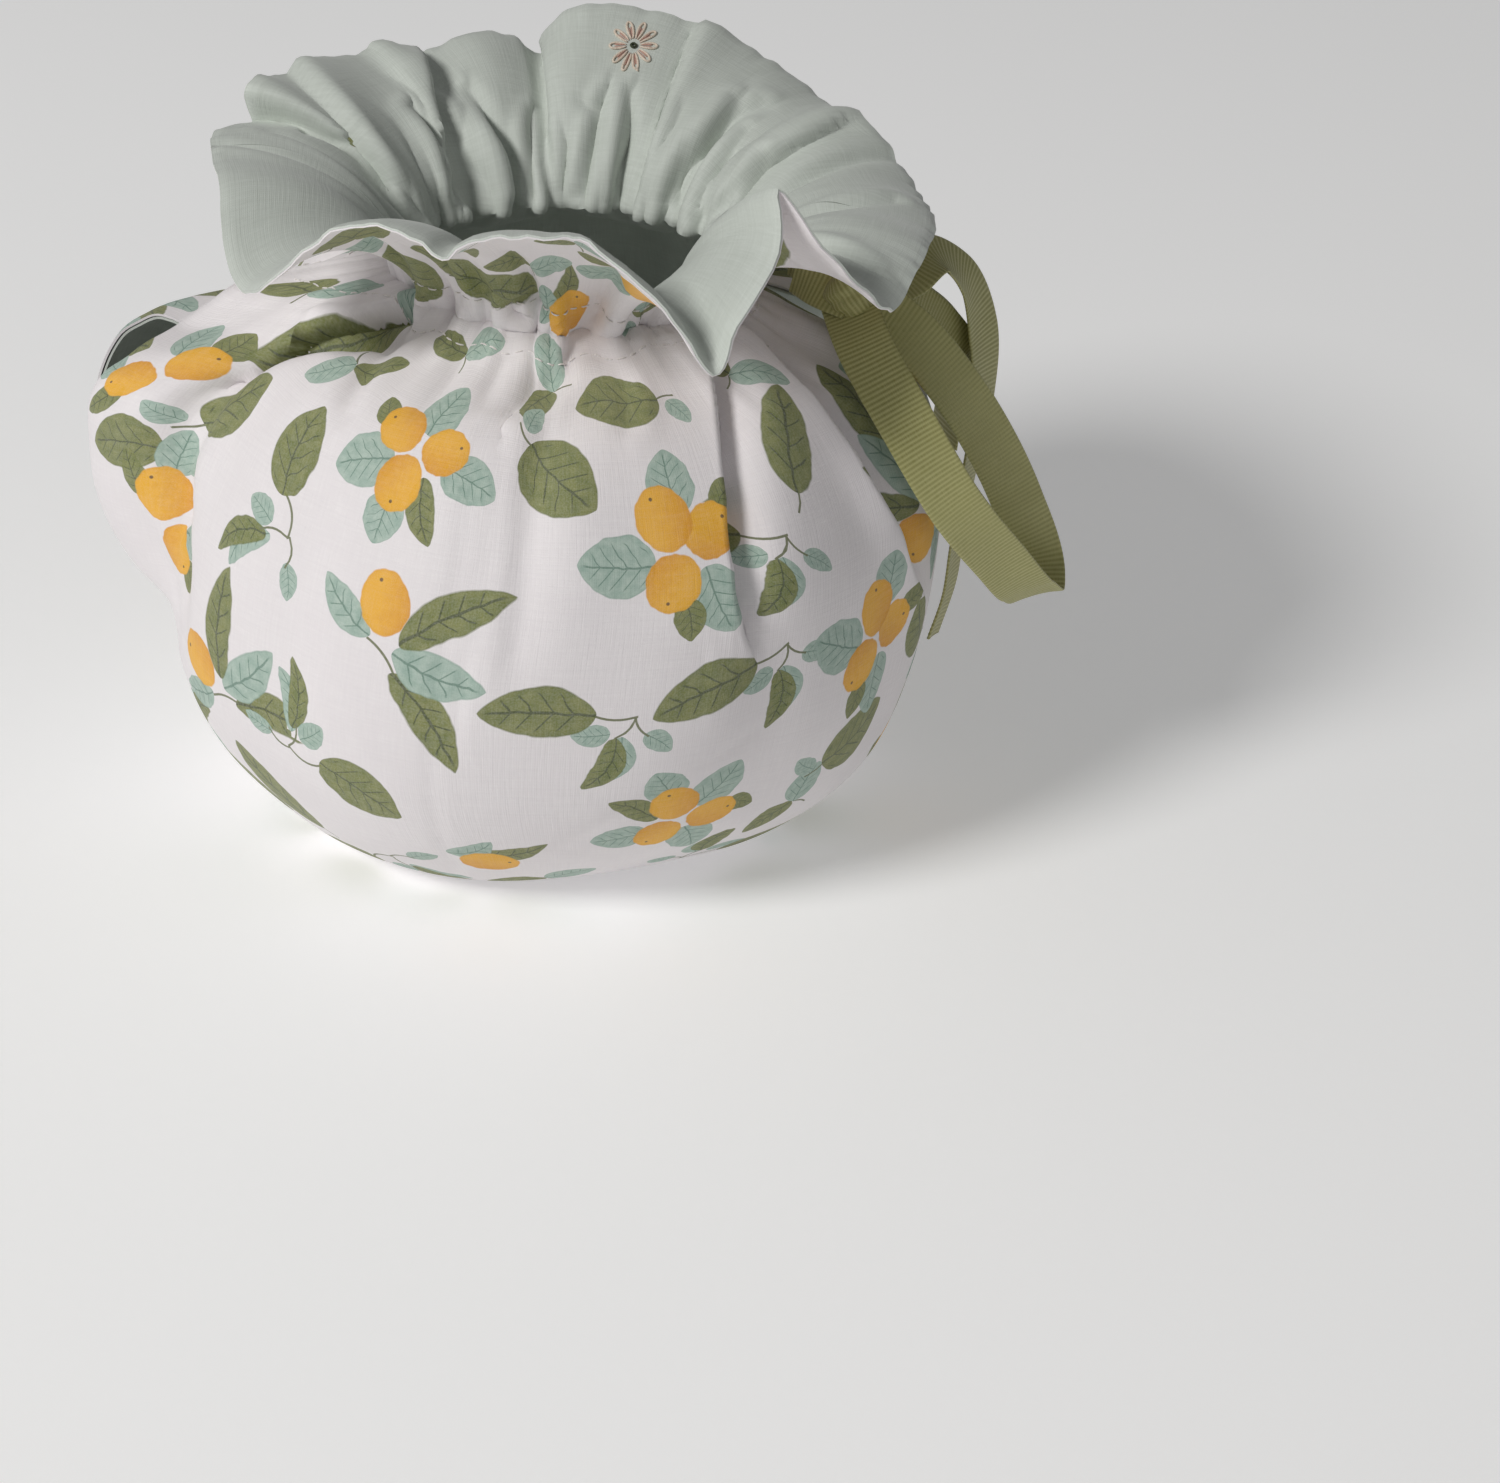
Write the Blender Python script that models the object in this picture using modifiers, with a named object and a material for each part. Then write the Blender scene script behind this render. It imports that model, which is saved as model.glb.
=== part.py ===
"""A tea cosy drawn in by a ribbon under a frill: two printed cotton panels, their two linings and the ribbon.

The cloth is one surface, cloth(q, v). q is the way round in degrees: 0 the front, 90 the side with the
slit, 180 the back and 270 the side with the sleeve. v is the way up the cloth from the hem's inner edge.
"""

import bmesh
import bpy
import numpy as np
from mathutils import Matrix

MM = 0.001

PANEL_SHEET = 0.0012
LINING_SHEET = 0.0010
LINING_DEPTH = 0.0004  # from the panel's inner face to the lining
SEAM_GAP = 0.0004  # front to back, along both side seams
LINING_INSET = 0.0009  # how much further back each lining stops at a side seam
FRILL = 0.054  # length of the cloth above the neck
NECK_RADIUS = 0.037
GATHERS = 20
GATHER_DEPTH = 0.0024
CENTRE = np.array([0.0018, 0.0002, 0])  # puts the whole shape's middle over the origin

RIBBON_WIDTH = 0.0125
RIBBON_SHEET = 0.0009

# The body's rings, from the hem up: name, radius, height, the ring's middle along X (mm)
BODY = (
    ("hem_inner", 44.5, 1.2, -6.0),
    ("hem_edge", 51.0, 1.2, -6.0),
    ("low", 72.5, 16.5, -5.0),
    ("round", 86.0, 42.0, -7.0),
    ("belly", 89.0, 70.0, -6.5),
    ("upper", 84.5, 96.0, -4.5),
    ("shoulder", 69.0, 118.0, -5.0),
    ("throat", 48.0, 126.5, -5.0),
    ("neck", 37.0, 132.0, -6.0),
)

# How far the low body sags out or in: direction (deg), out (mm)
SAG = (
    (-90, 3),
    (-62, 6),
    (-38, 4),
    (-18, 1),
    (5, -4),
    (28, -5),
    (50, -1),
    (70, 1),
    (90, 1),
    (180, 0),
    (250, 2),
)

# The frill's rim, a row for each lobe and crease: way round the cloth (deg), where that point of the rim
# stands (deg), its reach from the neck (mm), its lean from upright (deg)
RIM = (
    (-82, -83, 49.5, 58),
    (-72, -70, 50, 58),
    (-61, -56, 48, 75),
    (-40, -36, 51.5, 51),
    (-26, -22, 52, 50),
    (-22, -19, 50.5, 52),
    (-15, -14, 52, 48),
    (-5, -3, 52.5, 45),
    (3, 4, 52, 46),
    (10, 15, 50, 62),
    (18, 22, 48, 78),
    (25, 26, 49.5, 67),
    (32, 36, 52, 49),
    (36, 38, 53, 39),
    (42, 43, 50.5, 54),
    (50, 53, 47.5, 73),
    (67, 67, 48, 71),
    (77, 76, 47.5, 70),
    (88, 88, 47, 74),
    (114, 114, 48, 70),
    (124, 121, 47.5, 58),
    (130, 129, 49, 65),
    (144, 143, 51, 56),
    (165, 165, 52.5, 44),
    (184, 184, 51, 54),
    (187, 186, 49.5, 60),
    (192, 190, 50.5, 58),
    (200, 198, 51, 56),
    (209, 208, 50.5, 59),
    (214, 213, 48.5, 54),
    (219, 217, 51, 54),
    (227, 222, 51, 57),
    (235, 236, 51.5, 53),
    (249, 251, 51.5, 56),
    (254, 247, 48, 65),
    (261, 258, 50, 63),
)

# The edge of the cloth along the sleeve: way up (mm), distance along -X, half the mouth's opening along Y,
# height (mm), how far round the sleeve spreads (deg)
SLEEVE = (
    (0, 50.5, 0, 1.2, 27),
    (6.5, 57, 0, 1.2, 27),
    (31, 79, 0, 16.5, 24),
    (55, 92, 0, 38, 18),
    (64, 94.5, 0, 45.5, 16),
    (76, 103.5, 0, 50, 18),
    (96, 113.5, 0, 69, 24),
    (111, 115, 1, 85, 27),
    (120, 113.5, 7, 98, 27),
    (128, 109.5, 10.5, 106, 27),
    (135, 105, 10.5, 109.5, 27),
    (142, 100.5, 8, 112.5, 27),
    (148, 96.5, 4, 113.5, 27),
    (154, 93, 0, 114.5, 27),
    (161, 86.5, 0, 119.5, 27),
    (167, 80, 0, 124, 27),
    (178, 43, 0, 132, 27),
)

# The slit on the other side
SLIT_FROM, SLIT_TO, SLIT_HALF, SLIT_SPREAD = 0.104, 0.174, 0.009, 24

# Folds: name, then way round (deg) and up (mm) of the start, middle and end, then width, depth and the
# height of the lip on the side toward higher q (mm)
FOLDS = (
    ("sleeve_top", -44, 173, -60, 161, -71, 149, 4, 5, 0),
    ("sleeve_root", -71, 149, -73, 138, -71, 104, 5, 5.5, 1.5),
    ("sleeve_foot", -71, 106, -69, 95, -68, 78, 6, 3, 0),
    ("front_left", -1, 172, -7, 149, -10.5, 104, 9, 2.5, 1.5),
    ("front_pinch", -3, 172, -5, 165, -10.5, 156, 4, 3, 2),
    ("front_right", 33, 163, 24, 140, 22, 104, 5, 4, 3),
    ("right_pleat", 53, 158, 45, 128, 57, 95, 5, 4.5, 2.5),
    ("left_pinch", -45, 160, -45, 154, -44.5, 147, 3, 1.2, 0),
    ("right_low", 72, 167, 68, 149, 70, 120, 5, 3, 2),
    ("back_a", 120, 169, 125, 149, 128, 115, 7, 3, 2),
    ("back_b", 160, 171, 158, 149, 163, 112, 8, 3, 1),
    ("back_c", 200, 171, 206, 149, 200, 120, 7, 3.5, 2),
    ("back_d", 235, 169, 228, 149, 232, 115, 6, 3, 2),
    ("back_sleeve", 252, 163, 250, 140, 249, 100, 5, 4.5, 0),
)

# Rows of the cloth mesh: how far up the body (mm), then how far up the frill (parts of its length)
BODY_ROWS = (0, 6.5, 18, 34, 52, 70, 88, 104, 118, 131, 143, 154, 164, 172)
FRILL_ROWS = (0, 0.12, 0.28, 0.5, 0.75, 1)
COLUMNS = 40  # in each panel

# The ribbon's runs: X, Y, Z of the middle (mm), then the way its width points
LEAD_A = (
    (45.5, 2, 137.2, 0.1, 0.15, 1),
    (49, -2, 136.8, 0.1, 0.3, 0.95),
    (53, -7.5, 135.8, 0.1, 0.5, 0.85),
    (58, -13, 133.7, 0.2, 0.6, 0.75),
)
LEAD_B = (
    (45.5, -6.5, 136.6, 0, 0.15, 1),
    (49, -9.8, 136, 0, 0.35, 0.9),
    (53, -12.6, 135, 0.1, 0.55, 0.8),
    (58.5, -15, 133, 0.1, 0.75, 0.6),
)
LOOP_A = (
    (56.5, -13, 132.5, 0.8, 0.4, 0.5),
    (60, -27, 127, 0.75, 0.35, 0.55),
    (69.1, -38, 114.4, 0.74, 0.3, 0.58),
    (81.6, -39, 94.6, 0.76, 0.25, 0.55),
    (94, -31, 77, 0.85, 0.2, 0.42),
    (102.5, -21.5, 64.5, 0.93, 0.15, 0.3),
    (106, -14, 60.5, 0.95, 0.1, 0.3),
    (106.4, -9.5, 63.5, 0.93, 0.15, 0.35),
    (100.2, -9, 80.7, 0.85, 0.3, 0.45),
    (90.7, -12, 99.3, 0.8, 0.35, 0.5),
    (81.3, -15, 113.7, 0.75, 0.4, 0.5),
    (72, -15.5, 124.5, 0.7, 0.4, 0.55),
    (60, -14.5, 133, 0.6, 0.5, 0.6),
)
LOOP_B = (
    (58.5, -13, 134, 0.3, 0.6, 0.75),
    (69.5, -4, 128.2, 0.35, 0.75, 0.55),
    (80.4, 6, 116.8, 0.6, 0.7, 0.4),
    (86.5, 12, 107, 0.7, 0.6, 0.3),
    (87.5, 15.5, 104, 0.75, 0.6, 0.2),
    (85.5, 18.5, 107, 0.7, 0.6, 0.3),
    (77.5, 13, 117.5, 0.6, 0.7, 0.4),
    (68, 1, 126, 0.4, 0.8, 0.5),
    (58.5, -11, 132, 0.3, 0.7, 0.6),
)
TAIL_A = (
    (58, -14, 134.5, 0.1, 0.9, 0.4),
    (70.6, -2, 133.5, -0.1, 0.9, 0.4),
    (77.7, 6, 135.3, -0.1, 0.95, 0.3),
    (85.7, 11, 128.2, 0.3, 0.93, 0.2),
    (91, 13, 114.1, 0.55, 0.8, 0.2),
    (92.4, 12, 97.1, 0.5, 0.85, 0.1),
    (90.5, 9, 80.1, 0.4, 0.9, 0.0),
    (88.8, 7, 62.4, 0.35, 0.93, 0.0),
    (87.8, 5, 49.8, 0.35, 0.93, -0.1),
    (84.6, 2, 38.5, 0.3, 0.9, -0.35),
)
TAIL_B = (
    (57, -12, 133, 0.2, 0.9, 0.3),
    (66, 2, 129.5, 0.2, 0.9, 0.3),
    (76, 17, 121, -0.2, 0.95, 0.2),
    (84, 29, 106, -0.3, 0.9, 0.2),
    (88, 36, 90, -0.4, 0.9, 0.1),
    (87.5, 38, 74, -0.42, 0.9, 0.0),
)
KNOT = (57.8, -13.5, 133.4)
KNOT_HALF = (0.0068, 0.0062, 0.0056)


def spline(x, rows, period=None):
    """Smooth curve through rows whose first column is x. It gives the other columns."""
    rows = np.asarray(rows, float)
    if period:
        before, after = rows[-3:].copy(), rows[:3].copy()
        before[:, 0] -= period
        after[:, 0] += period
        rows = np.concatenate([before, rows, after])
    at, value = rows[:, 0], rows[:, 1:]
    x = np.clip(x, at[0], at[-1])
    i = np.clip(np.searchsorted(at, x, side="right") - 1, 0, len(at) - 2)
    step = np.diff(at)[:, None]
    rise = np.diff(value, axis=0) / step
    slope = np.empty_like(value)
    slope[1:-1] = (rise[:-1] * step[1:] + rise[1:] * step[:-1]) / (step[:-1] + step[1:])
    slope[0], slope[-1] = rise[0], rise[-1]
    wide = step[i]
    t = (x - at[i])[..., None] / wide
    return (
        (2 * t**3 - 3 * t**2 + 1) * value[i]
        + (t**3 - 2 * t**2 + t) * wide * slope[i]
        + (3 * t**2 - 2 * t**3) * value[i + 1]
        + (t**3 - t**2) * wide * slope[i + 1]
    )


def smooth(t):
    """0 to 1 with soft ends."""
    t = np.clip(t, 0, 1)
    return t * t * (3 - 2 * t)


def around(angle):
    """The same angle within half a turn."""
    return (angle + 180) % 360 - 180


RINGS = np.array([row[1:] for row in BODY]) * MM
UP_THE_BODY = np.concatenate([[0], np.cumsum(np.hypot(*np.diff(RINGS[:, :2], axis=0).T))])
BODY_CURVE = np.column_stack([UP_THE_BODY, RINGS])
NECK = UP_THE_BODY[-1]


def gathers(q):
    """Uneven ripples round the neck, about -1 to 1. The side seams hold the cloth flat beside them."""
    a = np.radians(q)
    phase = GATHERS * a + 0.9 * np.sin(3 * a + 0.6) + 0.6 * np.sin(5 * a + 2.0)
    held = 1 - 0.9 * np.exp(-((np.cos(a) / 0.12) ** 2))
    return held * np.cos(phase) * (0.8 + 0.25 * np.sin(7 * a + 1.1) + 0.15 * np.sin(4 * a))


def folds(q, v, radius):
    """How far the folds lift or sink the cloth. Each is a valley along a curve with a soft lip beside it."""
    out = np.zeros(np.shape(q))
    t = np.linspace(0, 1, 25)[:, None]
    for _, *ends, wide, deep, lip in FOLDS:
        a, b, c = np.reshape(ends, (3, 2))
        path = (1 - t) ** 2 * a + 2 * t * (1 - t) * b + t**2 * c
        dx = np.radians(around(q[..., None] - path[:, 0])) * radius[..., None]
        dy = v[..., None] - path[:, 1] * MM
        near = np.argmin(dx**2 + dy**2, -1)[..., None]
        dx = np.take_along_axis(dx, near, -1)[..., 0]
        dy = np.take_along_axis(dy, near, -1)[..., 0]
        away = np.hypot(dx, dy) / (wide * MM) * np.where(dx < 0, -1, 1)
        fade = np.sin(np.pi * np.clip((near[..., 0] + 3) / 30, 0, 1)) ** 0.5
        valley = -deep * np.exp(-(away**2))
        out += MM * fade * (valley + lip * np.exp(-(((away - 1.6) / 1.3) ** 2)))
    return out


def frill(q, v, middle, height):
    """The cloth above the neck: it leans out more and more, and its rim waves by the RIM table."""
    rim = np.array(RIM, float)
    rim[:, 1] -= rim[:, 0]
    turn, reach, lean = np.moveaxis(spline(q, rim, 360), -1, 0)
    s = np.clip((v - NECK) / FRILL, 0, 1)
    steps = 8
    out = rise = out_rim = rise_rim = 0
    for i in range(steps + 1):
        weight = (1 if i in (0, steps) else 4 if i % 2 else 2) / (3 * steps)
        here = np.radians(lean) * (0.35 + 1.3 * s * i / steps)
        rim_here = np.radians(lean) * (0.35 + 1.3 * i / steps)
        out = out + weight * s * np.sin(here)
        rise = rise + weight * s * np.cos(here)
        out_rim = out_rim + weight * np.sin(rim_here)
        rise_rim = rise_rim + weight * np.cos(rim_here)
    reach = reach * MM / np.hypot(out_rim, rise_rim)
    radius = NECK_RADIUS + GATHER_DEPTH * gathers(q) * np.exp(-((s / 0.38) ** 1.4)) + reach * out
    a = np.radians(q + turn * s)
    return np.stack([middle + radius * np.sin(a), -radius * np.cos(a), height + reach * rise], -1)


def cloth(q, v):
    """The panel's inner face."""
    q, v = np.broadcast_arrays(np.asarray(q, float), np.asarray(v, float))
    low = np.minimum(v, NECK)
    radius, height, middle = np.moveaxis(spline(low, BODY_CURVE), -1, 0)
    above = spline(np.minimum(low + 0.0005, NECK), BODY_CURVE)
    along = (above - spline(np.maximum(low - 0.0005, 0), BODY_CURVE))[..., :2]
    along /= np.linalg.norm(along, axis=-1, keepdims=True)
    a = np.radians(q)
    radius = radius + spline(q, SAG, 360)[..., 0] * MM * (1 - smooth((low - 0.030) / 0.065))
    ripple = np.exp(-(((NECK - low) / 0.024) ** 1.3)) * GATHER_DEPTH * gathers(q)
    lift = folds(q, low, radius) * smooth((low - 0.010) / 0.030) * smooth((NECK - low) / 0.014)
    out = radius + ripple + along[..., 1] * lift
    x, y, z = middle + out * np.sin(a), -out * np.cos(a), height - along[..., 0] * lift

    side = around(q + 90)
    edge_x, edge_y, edge_z, spread = np.moveaxis(spline(low / MM, SLEEVE), -1, 0)
    near = 1 - smooth(np.abs(side) / spread)
    x = x + near * (radius - middle - edge_x * MM)
    y = y - near * np.where(side < 0, -1, 1) * np.maximum(edge_y, 0) * MM
    z = z + near * (edge_z * MM - height)

    side = around(q - 90)
    near = 1 - smooth(np.abs(side) / SLIT_SPREAD)
    open_here = np.sin(np.pi * np.clip((low - SLIT_FROM) / (SLIT_TO - SLIT_FROM), 0, 1))
    y = y + near * np.where(side < 0, -1, 1) * SLIT_HALF * open_here

    body = np.stack([x, y, z], -1)
    point = np.where((v > NECK)[..., None], frill(q, v, middle, height), body)
    return point + CENTRE


def material(name, colour, roughness):
    made = bpy.data.materials.new(name)
    made.use_nodes = True
    shader = made.node_tree.nodes["Principled BSDF"]
    shader.inputs["Base Color"].default_value = (*colour, 1)
    shader.inputs["Roughness"].default_value = roughness
    shader.inputs["Metallic"].default_value = 0
    return made


def sheet(name, points, inner, outer, even, made, collection):
    """A solid sheet on a grid of points, from inner to outer along the grid's normals.

    An even one keeps its thickness at the creases, which draws them out to a sharper point.
    """
    rows, columns = points.shape[:2]
    shape = bmesh.new()
    grid = bmesh.ops.create_grid(shape, x_segments=columns - 1, y_segments=rows - 1, size=1)
    shape.verts.ensure_lookup_table()
    for vertex, point in zip(grid["verts"], points.reshape(-1, 3)):
        vertex.co = point
    for face in shape.faces:
        face.smooth = True
    mesh = bpy.data.meshes.new(name)
    shape.to_mesh(mesh)
    shape.free()
    made_object = bpy.data.objects.new(name, mesh)
    collection.objects.link(made_object)
    mesh.materials.append(made)
    solid = made_object.modifiers.new("thickness", "SOLIDIFY")
    solid.thickness = outer - inner
    solid.offset = (outer + inner) / (outer - inner)
    solid.use_even_offset = even
    return made_object


def cut_piece(name, middle, lining, made, collection):
    """A panel or lining: half of the way round, less the gap at the side seams."""
    v = np.array([row * MM for row in BODY_ROWS] + [NECK + part * FRILL for part in FRILL_ROWS])
    seam = np.interp(v, [*UP_THE_BODY, NECK + FRILL], [*RINGS[:, 0], NECK_RADIUS + FRILL])
    half = 90 - np.degrees(SEAM_GAP / 2 / seam)
    q = middle + half[:, None] * np.linspace(-1, 1, COLUMNS + 1)
    v = np.repeat(v[:, None], COLUMNS + 1, axis=1)
    points = cloth(q, v)
    if not lining:
        return sheet(name, points, 0, PANEL_SHEET, True, made, collection)
    for edge, beside in ((0, 1), (-1, -2)):
        step = points[:, beside] - points[:, edge]
        points[:, edge] += step * LINING_INSET / np.linalg.norm(step, axis=1)[:, None]
    return sheet(name, points, -LINING_DEPTH - LINING_SHEET, -LINING_DEPTH, False, made, collection)


def ribbon_run(name, rows, pieces, made, collection):
    """A flat run of ribbon through the rows, cut square at its ends."""
    rows = np.array(rows, float)
    far = np.concatenate([[0], np.cumsum(np.linalg.norm(np.diff(rows[:, :3], axis=0), axis=1))])
    at = np.linspace(0, far[-1], pieces + 1)
    found = spline(at, np.column_stack([far, rows]))
    middle = found[:, :3] * MM + CENTRE
    along = np.gradient(middle, axis=0)
    along /= np.linalg.norm(along, axis=1, keepdims=True)
    wide = found[:, 3:] - (found[:, 3:] * along).sum(1)[:, None] * along
    wide *= RIBBON_WIDTH / 2 / np.linalg.norm(wide, axis=1)[:, None]
    points = np.stack([middle - wide, middle + wide], 1)
    run = sheet(name, points, -RIBBON_SHEET / 2, RIBBON_SHEET / 2, True, made, collection)
    run.hide_render = True
    run.display_type = "WIRE"
    return run


def build():
    for old in list(bpy.data.objects):
        bpy.data.objects.remove(old, do_unlink=True)
    cosy = bpy.data.collections.new("tea_cosy")
    joined = bpy.data.collections.new("ribbon_runs")
    for collection in (cosy, joined):
        bpy.context.scene.collection.children.link(collection)
    print_cotton = (0.86, 0.83, 0.84)
    sage = (0.39, 0.46, 0.42)
    for side, middle in (("front", 0), ("back", 180)):
        cotton = material(f"{side}_print_cotton", print_cotton, 0.85)
        cut_piece(f"{side}_panel", middle, False, cotton, cosy)
        plain = material(f"{side}_lining_cotton", sage, 0.85)
        cut_piece(f"{side}_lining", middle, True, plain, cosy)

    olive = material("olive_grosgrain", (0.16, 0.19, 0.05), 0.7)
    bpy.ops.mesh.primitive_uv_sphere_add(segments=14, ring_count=8, radius=1)
    knot = bpy.context.object
    knot.name = knot.data.name = "drawstring_ribbon"
    knot.data.transform(Matrix.Diagonal((*KNOT_HALF, 1)))
    knot.location = np.array(KNOT) * MM + CENTRE
    knot.data.materials.append(olive)
    for collection in list(knot.users_collection):
        collection.objects.unlink(knot)
    cosy.objects.link(knot)
    runs = (
        ("lead_a", LEAD_A, 4),
        ("lead_b", LEAD_B, 4),
        ("loop_a", LOOP_A, 28),
        ("loop_b", LOOP_B, 18),
        ("tail_a", TAIL_A, 13),
        ("tail_b", TAIL_B, 9),
    )
    for name, rows, pieces in runs:
        run = ribbon_run(name, rows, pieces, olive, joined)
        join = knot.modifiers.new(name, "BOOLEAN")
        join.operation = "UNION"
        join.use_self = True
        join.object = run


build()
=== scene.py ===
"""The looks of the tea cosy: fine cloth, print, stitches, ribbon, a floor, light and a camera.

The cloth follows the same tables and functions as the solids: cloth(q, v), with q the way round in
degrees (0 the front, 90 the side with the slit, 180 the back, 270 the side with the sleeve) and v
the way up the cloth from the hem. Its finer folds, gathers and puckers are added here. Lengths are
in metres and angles in degrees where nothing else is said, and tables are in mm and degrees.
"""

import bpy
import numpy as np
from mathutils import Matrix, Vector


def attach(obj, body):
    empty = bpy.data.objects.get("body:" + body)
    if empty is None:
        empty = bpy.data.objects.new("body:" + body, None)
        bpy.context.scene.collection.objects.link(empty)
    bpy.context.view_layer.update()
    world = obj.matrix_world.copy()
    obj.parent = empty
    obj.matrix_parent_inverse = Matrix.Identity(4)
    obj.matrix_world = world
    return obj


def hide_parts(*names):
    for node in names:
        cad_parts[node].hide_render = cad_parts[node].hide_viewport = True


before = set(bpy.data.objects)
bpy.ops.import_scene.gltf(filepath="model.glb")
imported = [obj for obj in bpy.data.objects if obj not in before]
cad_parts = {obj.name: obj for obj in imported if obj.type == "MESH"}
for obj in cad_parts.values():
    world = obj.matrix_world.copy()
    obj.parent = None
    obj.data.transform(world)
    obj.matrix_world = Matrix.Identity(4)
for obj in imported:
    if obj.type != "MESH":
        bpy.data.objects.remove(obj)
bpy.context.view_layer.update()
scene = bpy.context.scene

MM = 0.001

FRILL = 0.054  # length of the cloth above the neck
NECK_RADIUS = 0.037
GATHERS = 20  # ripples round the neck
GATHER_DEPTH = 0.0024
CENTRE = np.array([0.0018, 0.0002, 0])  # puts the part's box in the middle
PATH_STEPS = 72  # along the curve of a fold or pleat

STITCH_ROW = 0.007  # from the neck to each stitch row of the casing
HEM = 0.009  # height of the turned hem
RIM_EDGE = 0.0022  # how far from its edge the rim thins
PRINT_GAP, LINING_GAP = 0.00003, 0.00004  # from a sheet's edge to the side seam
LINING_BACK, LINING_SKIN = 0.00035, 0.00085  # from the panel's inner face to the lining's two
FLAT_RADIUS = 0.089  # the flat cloth's width round the neck is this times the angle

RIBBON_WIDTH = 0.0125
RIBBON_SKIN = 0.00030  # half its thickness
RIB_PITCH, RIB_DEPTH = 0.0011, 0.00010

# The body's rings, from the hem up: name, radius, height, the ring's middle along X (mm)
BODY = (
    ("hem_inner", 44.5, 1.2, -6.0),
    ("hem_edge", 51.0, 1.2, -6.0),
    ("low", 72.5, 16.5, -5.0),
    ("round", 86.0, 42.0, -7.0),
    ("belly", 89.0, 70.0, -6.5),
    ("upper", 84.5, 96.0, -4.5),
    ("shoulder", 69.0, 118.0, -5.0),
    ("throat", 48.0, 126.5, -5.0),
    ("neck", 37.0, 132.0, -6.0),
)

# How far the low body sags out or in: direction (deg), out (mm)
SAG = (
    (-90, 3), (-62, 6), (-38, 4), (-18, 1), (5, -4), (28, -5), (50, -1), (70, 1), (90, 1), (180, 0),
    (250, 2),
)

# The frill's rim, a row for each lobe and crease: way round the cloth (deg), where that point of
# the rim stands (deg), its reach from the neck (mm), its lean from upright (deg)
RIM = (
    (-82, -83, 49.5, 58), (-72, -70, 50, 58), (-61, -56, 48, 75), (-40, -36, 51.5, 51),
    (-26, -22, 52, 50), (-22, -19, 50.5, 52), (-15, -14, 52, 48), (-5, -3, 52.5, 45),
    (3, 4, 52, 46), (10, 15, 50, 62), (18, 22, 48, 78), (25, 26, 49.5, 67), (32, 36, 52, 49),
    (36, 38, 53, 39), (42, 43, 50.5, 54), (50, 53, 47.5, 73), (67, 67, 48, 71), (77, 76, 47.5, 70),
    (88, 88, 47, 74), (114, 114, 48, 70), (124, 121, 47.5, 58), (130, 129, 49, 65),
    (144, 143, 51, 56), (165, 165, 52.5, 44), (184, 184, 51, 54), (187, 186, 49.5, 60),
    (192, 190, 50.5, 58), (200, 198, 51, 56), (209, 208, 50.5, 59), (214, 213, 48.5, 54),
    (219, 217, 51, 54), (227, 222, 51, 57), (235, 236, 51.5, 53), (249, 251, 51.5, 56),
    (254, 247, 48, 65), (261, 258, 50, 63),
)

# The edge of the cloth along the sleeve: way up (mm), distance along -X, half the mouth's opening
# along Y, height (mm), how far round the sleeve spreads (deg)
SLEEVE = (
    (0, 50.5, 0, 1.2, 27), (6.5, 57, 0, 1.2, 27), (31, 79, 0, 16.5, 24), (55, 92, 0, 38, 18),
    (64, 94.5, 0, 45.5, 16), (76, 103.5, 0, 50, 18), (96, 113.5, 0, 69, 24), (111, 115, 1, 85, 27),
    (120, 113.5, 7, 98, 27), (128, 109.5, 10.5, 106, 27), (135, 105, 10.5, 109.5, 27),
    (142, 100.5, 8, 112.5, 27), (148, 96.5, 4, 113.5, 27), (154, 93, 0, 114.5, 27),
    (161, 86.5, 0, 119.5, 27), (167, 80, 0, 124, 27), (178, 43, 0, 132, 27),
)

# The slit on the other side: from, to, half its opening, how far round it spreads
SLIT_FROM, SLIT_TO, SLIT_HALF, SLIT_SPREAD = 0.104, 0.174, 0.009, 24

# Folds: name, then way round (deg) and up (mm) of the start, middle and end, then width, depth and
# the height of the lip on the side toward higher q (mm). Two of them are softer than in the solids,
# because PLEATS has their edge.
FOLDS = (
    ("sleeve_top", -44, 173, -60, 161, -71, 149, 4, 5, 0),
    ("sleeve_root", -71, 149, -73, 138, -71, 104, 5, 5.5, 1.5),
    ("sleeve_foot", -71, 106, -69, 95, -68, 78, 6, 3, 0),
    ("front_left", -1, 172, -7, 149, -10.5, 104, 9, 2.5, 1.5),
    ("front_pinch", -3, 172, -5, 165, -10.5, 156, 4, 3, 2),
    ("front_right", 33, 163, 24, 140, 22, 104, 7, 1.0, 0.6),  # softer
    ("right_pleat", 53, 158, 45, 128, 57, 95, 7, 1.2, 0.6),  # softer
    ("left_pinch", -45, 160, -45, 154, -44.5, 147, 3, 1.2, 0),
    ("right_low", 72, 167, 68, 149, 70, 120, 5, 3, 2),
    ("back_a", 120, 169, 125, 149, 128, 115, 7, 3, 2),
    ("back_b", 160, 171, 158, 149, 163, 112, 8, 3, 1),
    ("back_c", 200, 171, 206, 149, 200, 120, 7, 3.5, 2),
    ("back_d", 235, 169, 228, 149, 232, 115, 6, 3, 2),
    ("back_sleeve", 252, 163, 250, 140, 249, 100, 5, 4.5, 0),
)

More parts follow.
